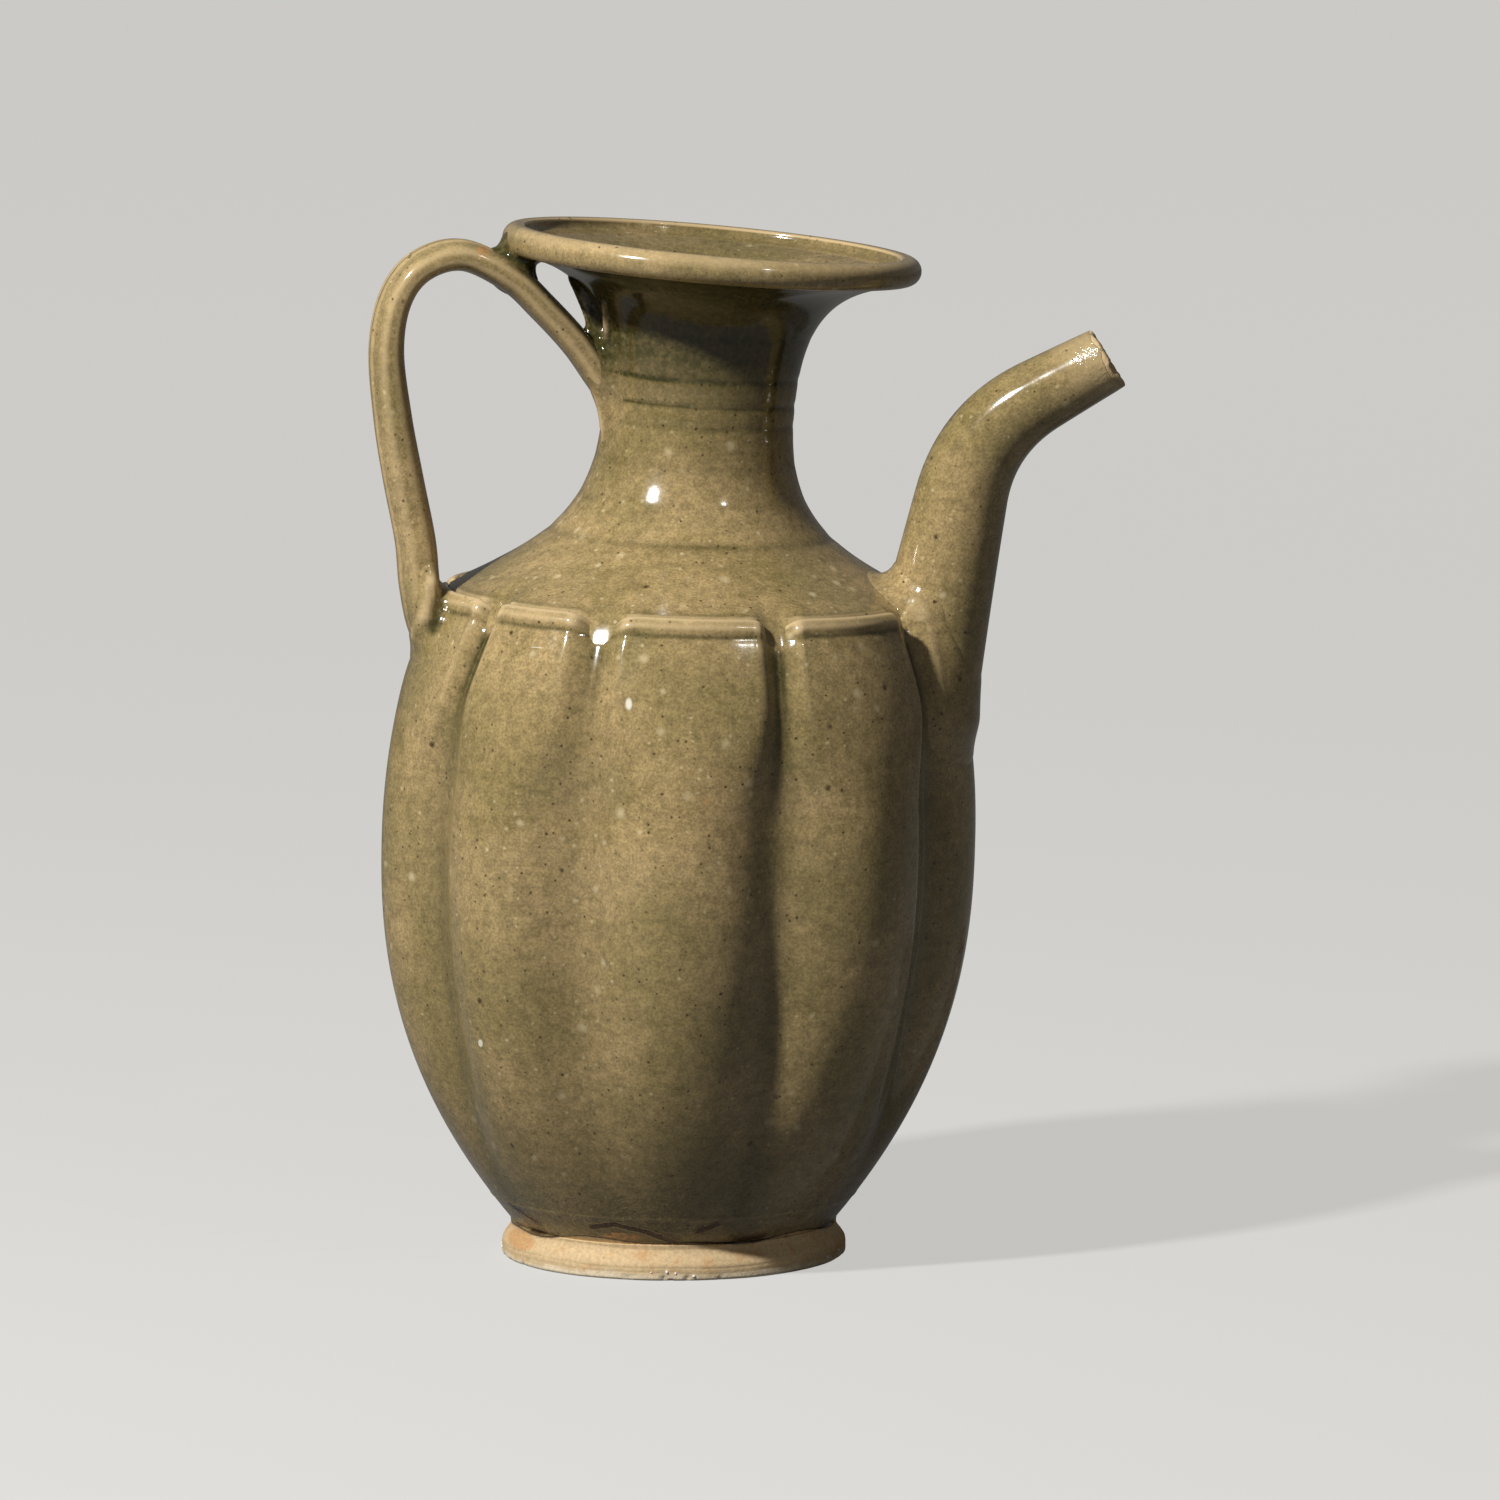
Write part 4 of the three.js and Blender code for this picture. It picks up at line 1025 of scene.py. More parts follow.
print("turned line:", WHOLE, "rows of", whole_grid.shape[1])

# %% The glaze ran off the lip and gathered under the dish, where shade is painted too
MOST_HOLLOW_POOL = 0.4
MOST_INNER_HOLLOW_POOL = 0.06
# Inside the pot the glaze is darker and greener all over.
INNER_DARKENING = 0.3
LEDGE_LINE_DARKENING = 0.4
BROKEN_WAVES = ((2, 0), (5, 0), (11, 0))
rows = np.arange(WHOLE)
row_heights = WHOLE_LINE[:, 1]
is_outside = rows < LIP_START


def run_off_and_dish_shade(height):
    """How thickly the glaze that ran down from the lip lies, from the shoulder up to the dish, with painted
    shade under the dish added in.
    """
    return 0.24 * smooth(height, 152, 172) + 0.66 * smooth(height, 176, 192)


most_pool = np.where(is_outside, MOST_HOLLOW_POOL, MOST_INNER_HOLLOW_POOL)
whole_pool_and_shade = np.minimum(whole_pool_and_shade, most_pool[:, None])
# Outside: glaze that ran down from the lip, and painted shade under the dish.
whole_pool_and_shade += np.where(is_outside, run_off_and_dish_shade(row_heights), INNER_DARKENING)[:, None]
for height, deep, wide in (*NECK_LINES, SEAM_LINE):
    uneven = 1 + 0.6 * ripple(neck_azimuths, 0, BROKEN_WAVES, int(height))
    in_line = bump_at(row_heights, height, wide * 0.7) * is_outside
    whole_pool_and_shade += LINE_POOL * deep * in_line[:, None] * uneven
# A darker line along the shoulder's foot, just above the ledge, except over the channels.
ledge_line = bump_at(row_heights, LEDGE_HEIGHT + 0.3, 0.5) * is_outside
whole_pool_and_shade += LEDGE_LINE_DARKENING * ledge_line[:, None] * (1 - in_channel)
whole_pool_and_shade[LIP_START:LIP_END] = 0

# %% On top of the lip the glaze is thin in patches, with a painted highlight, and the lower outer side is greener, with painted shade
LIP_WAVES = ((3, 0.4), (7, -0.8), (12, 0.9))
lip_top = smooth(rows, LIP_START - 3, LIP_START + 3) - smooth(rows, LIP_END - 3, LIP_END + 3)
lip_share = (rows[:, None] - LIP_START) / LIP_ROWS
lip_thin_and_highlight = 0.02 + 0.42 * smooth(lip_share, 0.42, 0.72)
lip_thin_and_highlight = lip_thin_and_highlight + 0.14 * ripple(neck_azimuths, row_heights[:, None], LIP_WAVES, 14)
lip_green_and_shade = 0.16 * smooth(lip_share, 0.75, 0.4)
whole_thin_and_highlight = np.clip(lerp(whole_thin_and_highlight, lip_thin_and_highlight, lip_top[:, None]), 0, 1)
whole_pool_and_shade = np.clip(lerp(whole_pool_and_shade, lip_green_and_shade, lip_top[:, None]), 0, 1)


# %% Cut the line into its three pieces
def thrown_piece(name, slot, first, last, *nodes):
    """One part of the line, between two of its outer rows, with the inside that belongs to it."""
    part = np.arange(first, WHOLE - first)
    if last < LIP_START:
        part = np.concatenate([np.arange(first, last + 1), np.arange(WHOLE - 1 - last, WHOLE - first)])
    piece = skin(name, whole_grid[part])
    coat(piece, (len(part), len(neck_azimuths)), thin=whole_thin_and_highlight[part], pool=whole_pool_and_shade[part])
    piece.data.normals_split_custom_set_from_vertices(whole_normals[part].reshape(-1, 3).tolist())
    finish_piece(piece, celadon, slot, *nodes)


thrown_piece("shoulder_skin", "celadon_glaze", 0, SHOULDER_END, "shoulder")
thrown_piece("neck_skin", "pooled_glaze", SHOULDER_END, NECK_END, "neck")
thrown_piece("dish_mouth_skin", "pooled_glaze", NECK_END, WHOLE, "dish_mouth")

# %% [markdown]
# ## The foot ring
# It was turned from thicker clay with a tool, so it has fine steps round its side, a softened lower
# edge with small chips, and a flat face underneath, which rests on the table.

# %% The foot ring's profile
FOOT_COLUMNS = 480
FOOT_EDGE = 0.7
FOOT_RECESS = 4.0
FOOT_WAIST_HEIGHT = 5.6
FOOT_WAIST_WIDTH = 1.5
FOOT_WAIST_DEPTH = 0.5
SIDE_ROWS = 34
EDGE_ROWS = 8
foot_azimuths = np.linspace(0, 360, FOOT_COLUMNS, endpoint=False)
side_shares = np.linspace(0, 1, SIDE_ROWS)
side_heights = lerp(FOOT_EDGE, FOOT_HEIGHT + 0.1, side_shares)
side_radii = lerp(FOOT_BASE_RADIUS, FOOT_TOP_RADIUS, smooth(side_shares, 0.3, 1.0))
side_radii = side_radii - FOOT_WAIST_DEPTH * bump_at(side_heights, FOOT_WAIST_HEIGHT, FOOT_WAIST_WIDTH)
edge_angles = np.linspace(-pi / 2, 0, EDGE_ROWS + 1)[:-1]
foot_profile = np.concatenate([
    [(FOOT_INNER_RADIUS + 0.7, 0.0), (FOOT_INNER_RADIUS + 3.2, 0.0)],
    np.stack([FOOT_BASE_RADIUS - FOOT_EDGE * (1 - np.cos(edge_angles)),
              FOOT_EDGE * (1 + np.sin(edge_angles))], 1),
    np.stack([side_radii, side_heights], 1),
    [(BODY_BASE_RADIUS - 1.5, FOOT_HEIGHT + 0.15), (FOOT_INNER_RADIUS, FOOT_HEIGHT + 0.15)],
    [(FOOT_INNER_RADIUS, FOOT_RECESS), (FOOT_INNER_RADIUS, FOOT_EDGE)],
])

# %% Turning lines, and chips out of the lower edge
TURNING_LINES = ((1.6, 0.05, 0.16), (2.7, 0.08, 0.18), (3.9, 0.04, 0.2), (6.3, 0.07, 0.2))
CHIPS = 26
CHIP_DEPTH = 0.5
CHIP_HEIGHT = 0.55
WEAR_DEPTH = 0.12
WEAR_WAVES = ((5, 0.3), (11, 0.5), (19, -0.4))
foot_radii = np.repeat(foot_profile[:, :1], FOOT_COLUMNS, 1)
foot_heights = np.repeat(foot_profile[:, 1:], FOOT_COLUMNS, 1)
on_side = foot_radii > FOOT_TOP_RADIUS - 1
for height, deep, wide in TURNING_LINES:
    waver = 0.25 * ripple(foot_azimuths, 0, ((3, 0), (8, 0)), int(height * 10))
    foot_radii -= on_side * deep * bump_at(foot_heights, height + waver, wide)
chance = np.random.default_rng(21)
for turn, wide, deep, low in chance.uniform((0, 0.5, 0.25, -0.2), (360, 2.2, 1.0, 0.9), (CHIPS, 4)):
    away = (foot_azimuths - turn + 180) % 360 - 180
    bite = CHIP_DEPTH * deep * np.exp(-(away / wide) ** 4) * bump_at(foot_heights, low, CHIP_HEIGHT)
    foot_radii -= on_side * bite
foot_radii -= on_side * WEAR_DEPTH * (1 + ripple(foot_azimuths, foot_heights, WEAR_WAVES, 8))

# %% Make the foot ring
foot_grid = lean(around(foot_azimuths, foot_radii, foot_heights))
foot = skin("foot_ring_skin", foot_grid)
foot_side = foot_azimuths[None, :]
coat(foot, foot_radii.shape, bare=bareness(foot_side, foot_heights), frayed=1.0,
     burnt=burnt_patches_and_slit_shade(foot_side, foot_heights), pool=0.3)
finish_piece(foot, stoneware, "bare_stoneware", "foot_ring")

# %% [markdown]
# ## Kiln grit
# The ewer was fired standing on sand, and a few grains stuck to its foot. They could be placed by
# hand, one by one. Geometry Nodes scatter them instead: points fall on the foot's skin only where a
# painted value allows it, and each carries one small uneven grain.

# %% Where grains may stick: a band low on the side, denser in patches
GRAIN_HEIGHT = 1.7
GRAIN_BAND = 0.9
GRAIN_LEAST = 0.35
GRIT_INPUTS = {"Grains per square metre": 7e4, "Least size": 0.18, "Most size": 0.4, "Seed": 9}
grit_host = skin("grit_host", foot_grid)
grit_patches = smooth(ripple(foot_side, 0, ((2, 0), (5, 0)), 3), 0.2, 0.9)
low_edge = on_side * bump_at(foot_heights, GRAIN_HEIGHT, GRAIN_BAND) * (GRAIN_LEAST + grit_patches)
paint(grit_host.data, "grit", low_edge)


# %% The tree that scatters them
def grit_tree():
    """Scatters uneven grains on a skin, as densely as its painted grit value says."""
    nodes, given = open_tree("scatter_grit", GRIT_INPUTS, "Sand")
    density = nodes.times(nodes.field("grit"), given["Grains per square metre"])
    scatter = nodes.add("GeometryNodeDistributePointsOnFaces",
                        {"Mesh": given["Geometry"], "Density": density, "Seed": given["Seed"]})
    grain = nodes.add("GeometryNodeMeshIcoSphere", {"Radius": MM, "Subdivisions": 2}).outputs["Mesh"]
    sizes = nodes.add("FunctionNodeRandomValue", {"Seed": given["Seed"]}, data_type="FLOAT_VECTOR")
    for socket, size in (("Min", given["Least size"]), ("Max", given["Most size"])):
        corner = nodes.add("ShaderNodeCombineXYZ", {"X": size, "Y": size, "Z": size}).outputs[0]
        nodes.feed(sizes.inputs[socket], corner)
    full_turn = {0: (0.0, 0.0, 0.0), 1: (2 * pi,) * 3, "Seed": given["Seed"]}
    turns = nodes.add("FunctionNodeRandomValue", full_turn, data_type="FLOAT_VECTOR")
    placed = {"Points": scatter.outputs["Points"], "Instance": grain,
              "Rotation": turns.outputs[0], "Scale": sizes.outputs[0]}
    grains = nodes.add("GeometryNodeInstanceOnPoints", placed)
    return close_tree(nodes, grains.outputs[0], given["Sand"])


# %% Sand's material, and the grains
def sand_material():
    material, nodes, shader = new_material("kiln_sand")
    shade = nodes.patches(nodes.object_place(), *SAND_SHADE)
    nodes.feed(shader.inputs["Base Color"], nodes.mix(shade, CLAY_BURNT_AND_SHADE, CLAY))
    nodes.feed(shader.inputs["Roughness"], nodes.blend(shade, 0.55, 0.75))
    return material


grit = apply_tree(grit_host, grit_tree(), {**GRIT_INPUTS, "Sand": sand_material()}, "kiln_grit")
grit.data.shade_smooth()
finish_piece(grit, grit.data.materials[0], "bare_stoneware")

# %% [markdown]
# ## Rings along a line
# Spout and handle both follow a bent centre line in an upright plane through the pot's axis. A
# curve with a bevel would do for the spout, but not for a strap with ribs that changes its width.
# So both are rows of rings, each square to its centre line.

# %% Rings square to a centre line
def rings_along(line, azimuth, section):
    """A grid of rings. line holds radius and height; section gives offsets across and above it."""
    ahead = np.gradient(line, axis=0)
    ahead /= np.linalg.norm(ahead, axis=1, keepdims=True)
    out = around(azimuth, 1.0, 0.0)
    side = around(azimuth + 90, 1.0, 0.0)
    up = np.array([0.0, 0.0, 1.0])
    centres = line[:, :1] * out + line[:, 1:] * up
    normals = -ahead[:, 1:] * out + ahead[:, :1] * up
    across, above = section
    return centres[:, None, :] + across[..., None] * side + above[..., None] * normals[:, None, :]


# %% Keep buried ends inside the pot's wall
WALL_BURIED = 2.4
LOBE_BURIED = 4.6
pot_heights = np.concatenate([outer_heights, outside_line[SKIRT_ROWS + 1:, 1]])
pot_radii = np.concatenate([crest_radius(outer_heights), outside_line[SKIRT_ROWS + 1:, 0]])


def buried_radius(height):
    """How near to the axis buried clay may come: below the ledge the wall is thicker."""
    deep = lerp(LOBE_BURIED, WALL_BURIED, smooth(height, LEDGE_HEIGHT - 3, LEDGE_HEIGHT + 3))
    return np.interp(height, pot_heights, pot_radii) - deep


def kept_in_wall(places):
    """Moves points that would come out inside the pot back into its wall."""
    radius = np.hypot(places[..., 0], places[..., 1])
    push = np.maximum(buried_radius(places[..., 2]) / np.maximum(radius, 1e-6), 1)
    return np.stack([places[..., 0] * push, places[..., 1] * push, places[..., 2]], -1)


# %% [markdown]
# ## The spout
# A tapering tube of clay, bent while soft, set on the ledge of one lobe. Its tip was cut straight
# and has since been chipped, so pinkish clay and splinters of glaze show round the opening.

# %% The spout's centre line and its wall
SPOUT_AZIMUTH = 80.0
SPOUT_LEAN = radians(8.2)
SPOUT_RISE = radians(35)
SPOUT_OUTSET = 1.8
SPOUT_CORNER_RISE = 38
SPOUT_BEND = 15.0
SPOUT_TIP_LENGTH = 32.8
SPOUT_END_HEIGHT = 106.0
SPOUT_SUNK = (LEDGE_HEIGHT - SPOUT_END_HEIGHT) / cos(SPOUT_LEAN)
SPOUT_ROOT_RADIUS = 11.0
SPOUT_TIP_RADIUS = 7.2
SPOUT_WALLS = (4.0, 2.4)
SPOUT_END_REACH = 12
SPOUT_ROWS = 220
SPOUT_COLUMNS = 96
spout_root = np.array([LEDGE_RADIUS + SPOUT_OUTSET, LEDGE_HEIGHT])
low_leg = np.array([sin(SPOUT_LEAN), cos(SPOUT_LEAN)])
high_leg = np.array([cos(SPOUT_RISE), sin(SPOUT_RISE)])
spout_corner = spout_root + low_leg * SPOUT_CORNER_RISE / low_leg[1]
bend = [spout_corner - low_leg * SPOUT_BEND, spout_corner, spout_corner + high_leg * SPOUT_BEND]
bend_line = curve(bend, np.linspace(0, 1, 60))
spout_line = np.concatenate([[spout_root - low_leg * SPOUT_SUNK], bend_line,
                             [spout_corner + high_leg * SPOUT_TIP_LENGTH]])
spout_centre = even(spout_line, SPOUT_ROWS)
spout_length = stretches(spout_line).sum()
from_tip = np.linspace(spout_length, 0, SPOUT_ROWS + 1)
taper = 1 - from_tip / (spout_length - SPOUT_SUNK)
spout_radii = lerp(SPOUT_ROOT_RADIUS, SPOUT_TIP_RADIUS, taper)
above_end = smooth(spout_centre[:, 1], SPOUT_END_HEIGHT, SPOUT_END_HEIGHT + SPOUT_END_REACH)
spout_radii = spout_radii * lerp(0.5, 1, above_end)
spout_walls = lerp(*SPOUT_WALLS, taper)
print("spout length above the ledge:", round(spout_length - SPOUT_SUNK, 1), "mm")

# %% Rings of the tube, its rounded tip and its bore
TIP_ROUND = 0.5
TIP_ROWS = 9
BORE_START = 70
spout_turn = np.linspace(0, 2 * pi, SPOUT_COLUMNS, endpoint=False)[None, :]
round_shares = np.linspace(0, pi, TIP_ROWS)[1:-1]
tip_ahead = TIP_ROUND * np.sin(round_shares)
tip_line = spout_centre[-1] + tip_ahead[:, None] * high_leg
tip_radii = spout_radii[-1] - spout_walls[-1] * (1 - np.cos(round_shares)) / 2


def tube(line, radii):
    """Round rings along a line in the spout's plane."""
    across = radii[:, None] * np.sin(spout_turn)
    above = radii[:, None] * np.cos(spout_turn)
    return rings_along(line, SPOUT_AZIMUTH, (across, above))


tip_rings = tube(spout_centre[-1] + np.arange(len(tip_radii))[:, None] * high_leg, tip_radii)
tip_rings = tip_rings + (around(SPOUT_AZIMUTH, tip_line[:, 0], tip_line[:, 1])
                         - tip_rings.mean(1))[:, None, :]
bore = tube(spout_centre, spout_radii - spout_walls)[:BORE_START:-1]
spout_upright = np.concatenate([tube(spout_centre, spout_radii), tip_rings, bore])

# %% Chip the tip, and make the spout
CHIP_REACH = 3.0
TIP_CHIPS = ((0.35, 0.2, 0.3), (1.5, 0.22, 0.5), (2.3, 0.15, 0.3), (3.6, 0.2, 0.3), (4.3, 0.25, 0.6),
             (5.8, 0.2, 0.3))
TIP_SLANT = 1.0
TIP_WEAR = 0.35
TIP_THIN = 0.6
TIP_FRAYED = (8, 4)
SPOUT_POOL = 0.8
row_from_tip = np.concatenate([from_tip, np.zeros(len(tip_radii)), from_tip[:BORE_START:-1]])[:, None]
bite = sum(deep * np.exp(-(((spout_turn - place + pi) % (2 * pi) - pi) / wide) ** 4)
           for place, wide, deep in TIP_CHIPS)
bite = bite + TIP_SLANT * (1 + np.sin(spout_turn))
spout_sides = np.degrees(spout_turn)
bite = bite + 0.08 * (1 + ripple(spout_sides, 0, ((9, 0), (17, 0), (26, 0)), 2))
tip_direction = around(SPOUT_AZIMUTH, high_leg[0], high_leg[1])
pulled = bite * np.clip(1 - row_from_tip / CHIP_REACH, 0, 1)
spout_upright = spout_upright - pulled[..., None] * tip_direction
spout_grid = lean(kept_in_wall(spout_upright))
spout = skin("spout_skin", spout_grid)
spout_thin, spout_pool = glaze_flow(spout_grid, 2)
worn = TIP_WEAR + 0.9 * ripple(spout_sides, 0, ((2, 0), (5, 0), (9, 0)), 5)
tip_bare = smooth(worn - row_from_tip, -0.3, 0.3)
tip_thin = TIP_THIN * smooth(row_from_tip, 14, 0.5)
coat(spout, spout_thin.shape, thin=np.clip(spout_thin + tip_thin, 0, 1), pool=SPOUT_POOL * spout_pool,
     bare=tip_bare, frayed=smooth(row_from_tip, *TIP_FRAYED), broken=1.0)
finish_piece(spout, celadon, "celadon_glaze", "spout")

# %% [markdown]
# ## The handle
# A strap pulled from a lump of clay, with three round rolls drawn along its outer face by the
# potter's fingers. It leaves the neck, arches past the lip and comes down onto the lobe opposite
# the spout. The strap itself is a row of rings. The rolls repeat across it, so Geometry Nodes press
# the furrows between them, and their number and depth stay inputs.

# %% The strap's centre line
HANDLE_AZIMUTH = -80.0
HANDLE_REACH = 66.7
HANDLE_TOP = 207.2
LIMB_OUTSET = 6.5
LIMB_RISE = 9.5
LEDGE_OUTSET = 5.0
ROOT_DROP = 8.8
ROOT_DEPTH = 1.4
END_DROP = 17.4
END_DEPTH = 9.8
LIP_FLARE = LIP_CENTRE[0]
NECK_SHARES = [(-0.331, 0.501), (-0.132, 0.578), (0.066, 0.655), (0.331, 0.756),
               (0.684, 0.858), (1.026, 0.941)]
ARCH_SHARES = [(0.433, 1), (0.763, 0.962), (0.952, 0.865), (1, 0.71)]
LIMB_SHARES = [(0.729, 0.508), (0.38, 0.327)]


def between(inner, outer, shares):
    """Points of the line, as shares of the way out and of the way up from the ledge to the top."""
    return [(lerp(inner, outer, out), lerp(LEDGE_HEIGHT, HANDLE_TOP, rise)) for out, rise in shares]


def sunk_point(drop, depth):
    """A point below the ledge, at a depth under the lobe's crest."""
    return float(crest_radius(LEDGE_HEIGHT - drop)) - depth, LEDGE_HEIGHT - drop


handle_points = np.array([
    *between(WAIST_RADIUS, LIP_FLARE, NECK_SHARES),
    *between(LIP_FLARE, HANDLE_REACH, ARCH_SHARES),
    *between(LEDGE_RADIUS + LIMB_OUTSET, HANDLE_REACH, LIMB_SHARES),
    (LEDGE_RADIUS + LIMB_OUTSET, LEDGE_HEIGHT + LIMB_RISE),
    (LEDGE_RADIUS + LEDGE_OUTSET, LEDGE_HEIGHT),
    sunk_point(ROOT_DROP, ROOT_DEPTH),
    sunk_point(END_DROP, END_DEPTH),
])


def through(points, steps):
    """A smooth line through points: each stretch bends by the points on both its sides."""
    padded = np.concatenate([[2 * points[0] - points[1]], points, [2 * points[-1] - points[-2]]])
    parts = []
    for before, start, end, after in zip(padded, padded[1:], padded[2:], padded[3:]):
        share = np.linspace(0, 1, steps, endpoint=False)[:, None]
        parts.append(0.5 * (2 * start + (end - before) * share
                            + (2 * before - 5 * start + 4 * end - after) * share ** 2
                            + (3 * start - before - 3 * end + after) * share ** 3))
    return np.concatenate([*parts, points[-1:]])


HANDLE_ROWS = 260
handle_centre = even(through(handle_points, 24), HANDLE_ROWS)
print("strap:", len(handle_points), "guide points,", HANDLE_ROWS, "rings")

# %% The strap's section
STRAP_COLUMNS = 144
STRAP_WIDTHS = (12, 15.5, 20)
STRAP_THICKNESSES = (6.2, 8.2)
SIDE_ROUNDNESS = 0.8
FACE_ROUNDNESS = 0.72


def flattened(wave, roundness):
    """A wave from -1 to 1 that stays longer at its ends the lower its roundness is."""
    return np.sign(wave) * np.abs(wave) ** roundness


strap_turn = np.linspace(0, 2 * pi, STRAP_COLUMNS, endpoint=False)[None, :]
handle_shares = np.linspace(0, 1, HANDLE_ROWS + 1)[:, None]
strap_width = np.where(handle_shares < 0.5, lerp(*STRAP_WIDTHS[:2], smooth(handle_shares, 0, 0.3)),
                       lerp(*STRAP_WIDTHS[1:], smooth(handle_shares, 0.75, 1)))
strap_thickness = lerp(*STRAP_THICKNESSES, smooth(handle_shares, 0.4, 0.75))
across = flattened(np.cos(strap_turn), SIDE_ROUNDNESS)
face = flattened(np.sin(strap_turn), FACE_ROUNDNESS)
section = across * strap_width / 2, face * strap_thickness / 2
strap = rings_along(handle_centre, HANDLE_AZIMUTH, section)
turned_strap = skin("pulled_strap", strap * MM, ring=False)
rolled_part = smooth(handle_shares, 0.1, 0.24) * smooth(handle_shares, 0.97, 0.86)
paint(turned_strap.data, "across", np.broadcast_to(across, strap.shape[:2]))
paint(turned_strap.data, "rolled", np.clip(face, 0, 1) ** 0.5 * rolled_part)

# %% The tree that draws the rolls
ROLL_INPUTS = {"Rolls": 3.0, "Furrow depth": 1.35, "Sharpness": 3.2}
FURROW_FADE = (0.62, 0.8)


def roll_tree():
    """Presses furrows between the rolls, inwards from the strap's outer face."""
    nodes, given = open_tree("draw_rolls", ROLL_INPUTS, "Glaze")
    along = nodes.times(nodes.math("ADD", nodes.field("across"), 1.0), given["Rolls"], 0.5)
    part = nodes.math("FRACT", along)
    from_middle = nodes.math("ABSOLUTE", nodes.math("MULTIPLY_ADD", part, 2.0, -1.0))
    furrow = nodes.math("POWER", from_middle, given["Sharpness"])
    inner = nodes.ramp(nodes.math("ABSOLUTE", nodes.field("across")), *FURROW_FADE, 1.0, 0.0)
    depth = nodes.times(furrow, inner, nodes.field("rolled"), given["Furrow depth"], -MM)
    outward = nodes.add("GeometryNodeInputNormal").outputs[0]
    moved = {"Geometry": given["Geometry"], "Offset": nodes.vector("SCALE", outward, Scale=depth)}
    return close_tree(nodes, nodes.add("GeometryNodeSetPosition", moved).outputs[0], given["Glaze"])


# %% Draw the rolls, then bury the strap's ends and lean it
HANDLE_THIN = 0.8
BLOB_POOL = 0.85
handle = apply_tree(turned_strap, roll_tree(), {**ROLL_INPUTS, "Glaze": celadon}, "handle_skin")
upright_handle = points_of(handle.data) / MM
leaned_handle = lean(kept_in_wall(upright_handle))
handle_grid = leaned_handle[:-2].reshape(strap.shape)
move_points(handle.data, leaned_handle)
handle_thin, handle_pool = glaze_flow(handle_grid, 2, ring=False)
LIP_ROW = np.argmax(handle_centre[:, 0] > LIP_FLARE)
strap_rows = np.arange(HANDLE_ROWS + 1)[:, None]
below_lip = smooth(strap_rows, LIP_ROW + 8, LIP_ROW) * smooth(face, 0.35, 0.8)
coat(handle, handle_thin.shape, thin=HANDLE_THIN * handle_thin * (1 - below_lip),
     pool=np.maximum(handle_pool, BLOB_POOL * below_lip))
finish_piece(handle, celadon, "celadon_glaze", "handle")

# %% [markdown]
# ## Clay worked into the joints
# Where strap and spout meet the pot, soft clay was pressed round them and smoothed with a finger. A
# boolean union would leave a hard corner there, and a bevel needs a clean edge loop, which two
# crossing skins don't have. Distances have neither problem. Each point of a fine grid round the
# joint is told how far it is from both skins, and a soft minimum of the two distances swells where
# both are near, as clay does. The skin on which that blend is zero is then drawn as a mesh. Outside
# the joint the same skin dips under the glaze, so nothing ends in a cut edge.

# %% Signed distances to finished skins
def skin_tree(grid, ring=True):
    """A skin's faces, sorted for quick searches."""
    return BVHTree.FromPolygons(grid.reshape(-1, 3).tolist(), grid_faces(*grid.shape[:2], ring))


body_skin, turned_skin = skin_tree(body_grid, ring=False), skin_tree(whole_grid)
spout_tube = skin_tree(lean(tube(spout_centre, spout_radii)), ring=False)
strap_skin = skin_tree(lean(upright_handle[:-2]).reshape(strap.shape), ring=False)
SKIN_SIGNS = {}


def distances(surface, places):
    """Millimetres from each place to a skin, negative inside its clay."""
    away = np.empty(len(places))
    for number, place in enumerate(places):
        place = Vector(place)
        nearest, normal, _, distance = surface.find_nearest(place)
        away[number] = distance if (place - nearest).dot(normal) > 0 else -distance
    return away * SKIN_SIGNS.get(surface, 1) / MM


for surface, far_outside in ((body_skin, (0, -1, 0.1)), (turned_skin, (0, -1, 0.1)),
                             (spout_tube, (1, -1, 0.1)), (strap_skin, (-1, -1, 0.1))):
    SKIN_SIGNS[surface] = np.sign(distances(surface, [far_outside])[0])


# %% Distances on a grid of points, worked out finely only near the clay
GRID_STEP = 0.5
BLOCK = 4
BLOCK_REACH = 0.87 * BLOCK * GRID_STEP
CORE = 0.9


def repeated(values):
    """Gives each block's value to all the points in it."""
    for axis in range(3):
        values = values.repeat(BLOCK, axis)
    return values


def joint_fields(surfaces, centre, reach, width):
    """The grid's upright places, and the distances from them, once leaned, to each skin."""
    count = 2 * int(np.ceil(reach / GRID_STEP / BLOCK)) * BLOCK
    lows = np.array(centre) - count * GRID_STEP / 2
    axes = [low + np.arange(count) * GRID_STEP for low in lows]
    upright = np.stack(np.meshgrid(*axes, indexing="ij"), -1)
    places = lean(upright)
    middles = places[BLOCK // 2::BLOCK, BLOCK // 2::BLOCK, BLOCK // 2::BLOCK]
    fields = [repeated(distances(surface, middles.reshape(-1, 3)).reshape(middles.shape[:3]))
              for surface in surfaces]
    plain = np.minimum.reduce(fields)
    near = (plain > -CORE - BLOCK_REACH) & (plain < width / 4 + BLOCK_REACH + 0.3)
    for surface, field in zip(surfaces, fields):
        field[near] = distances(surface, places[near])
    return upright, fields


# %% Blend distances as wet clay runs together
def soft_union(first, second, width):
    """The smaller of two distances, less up to a quarter of the width where both are alike."""
    share = np.clip(0.5 + (second - first) / (2 * width), 0, 1)
    return lerp(second, first, share) - width * share * (1 - share)


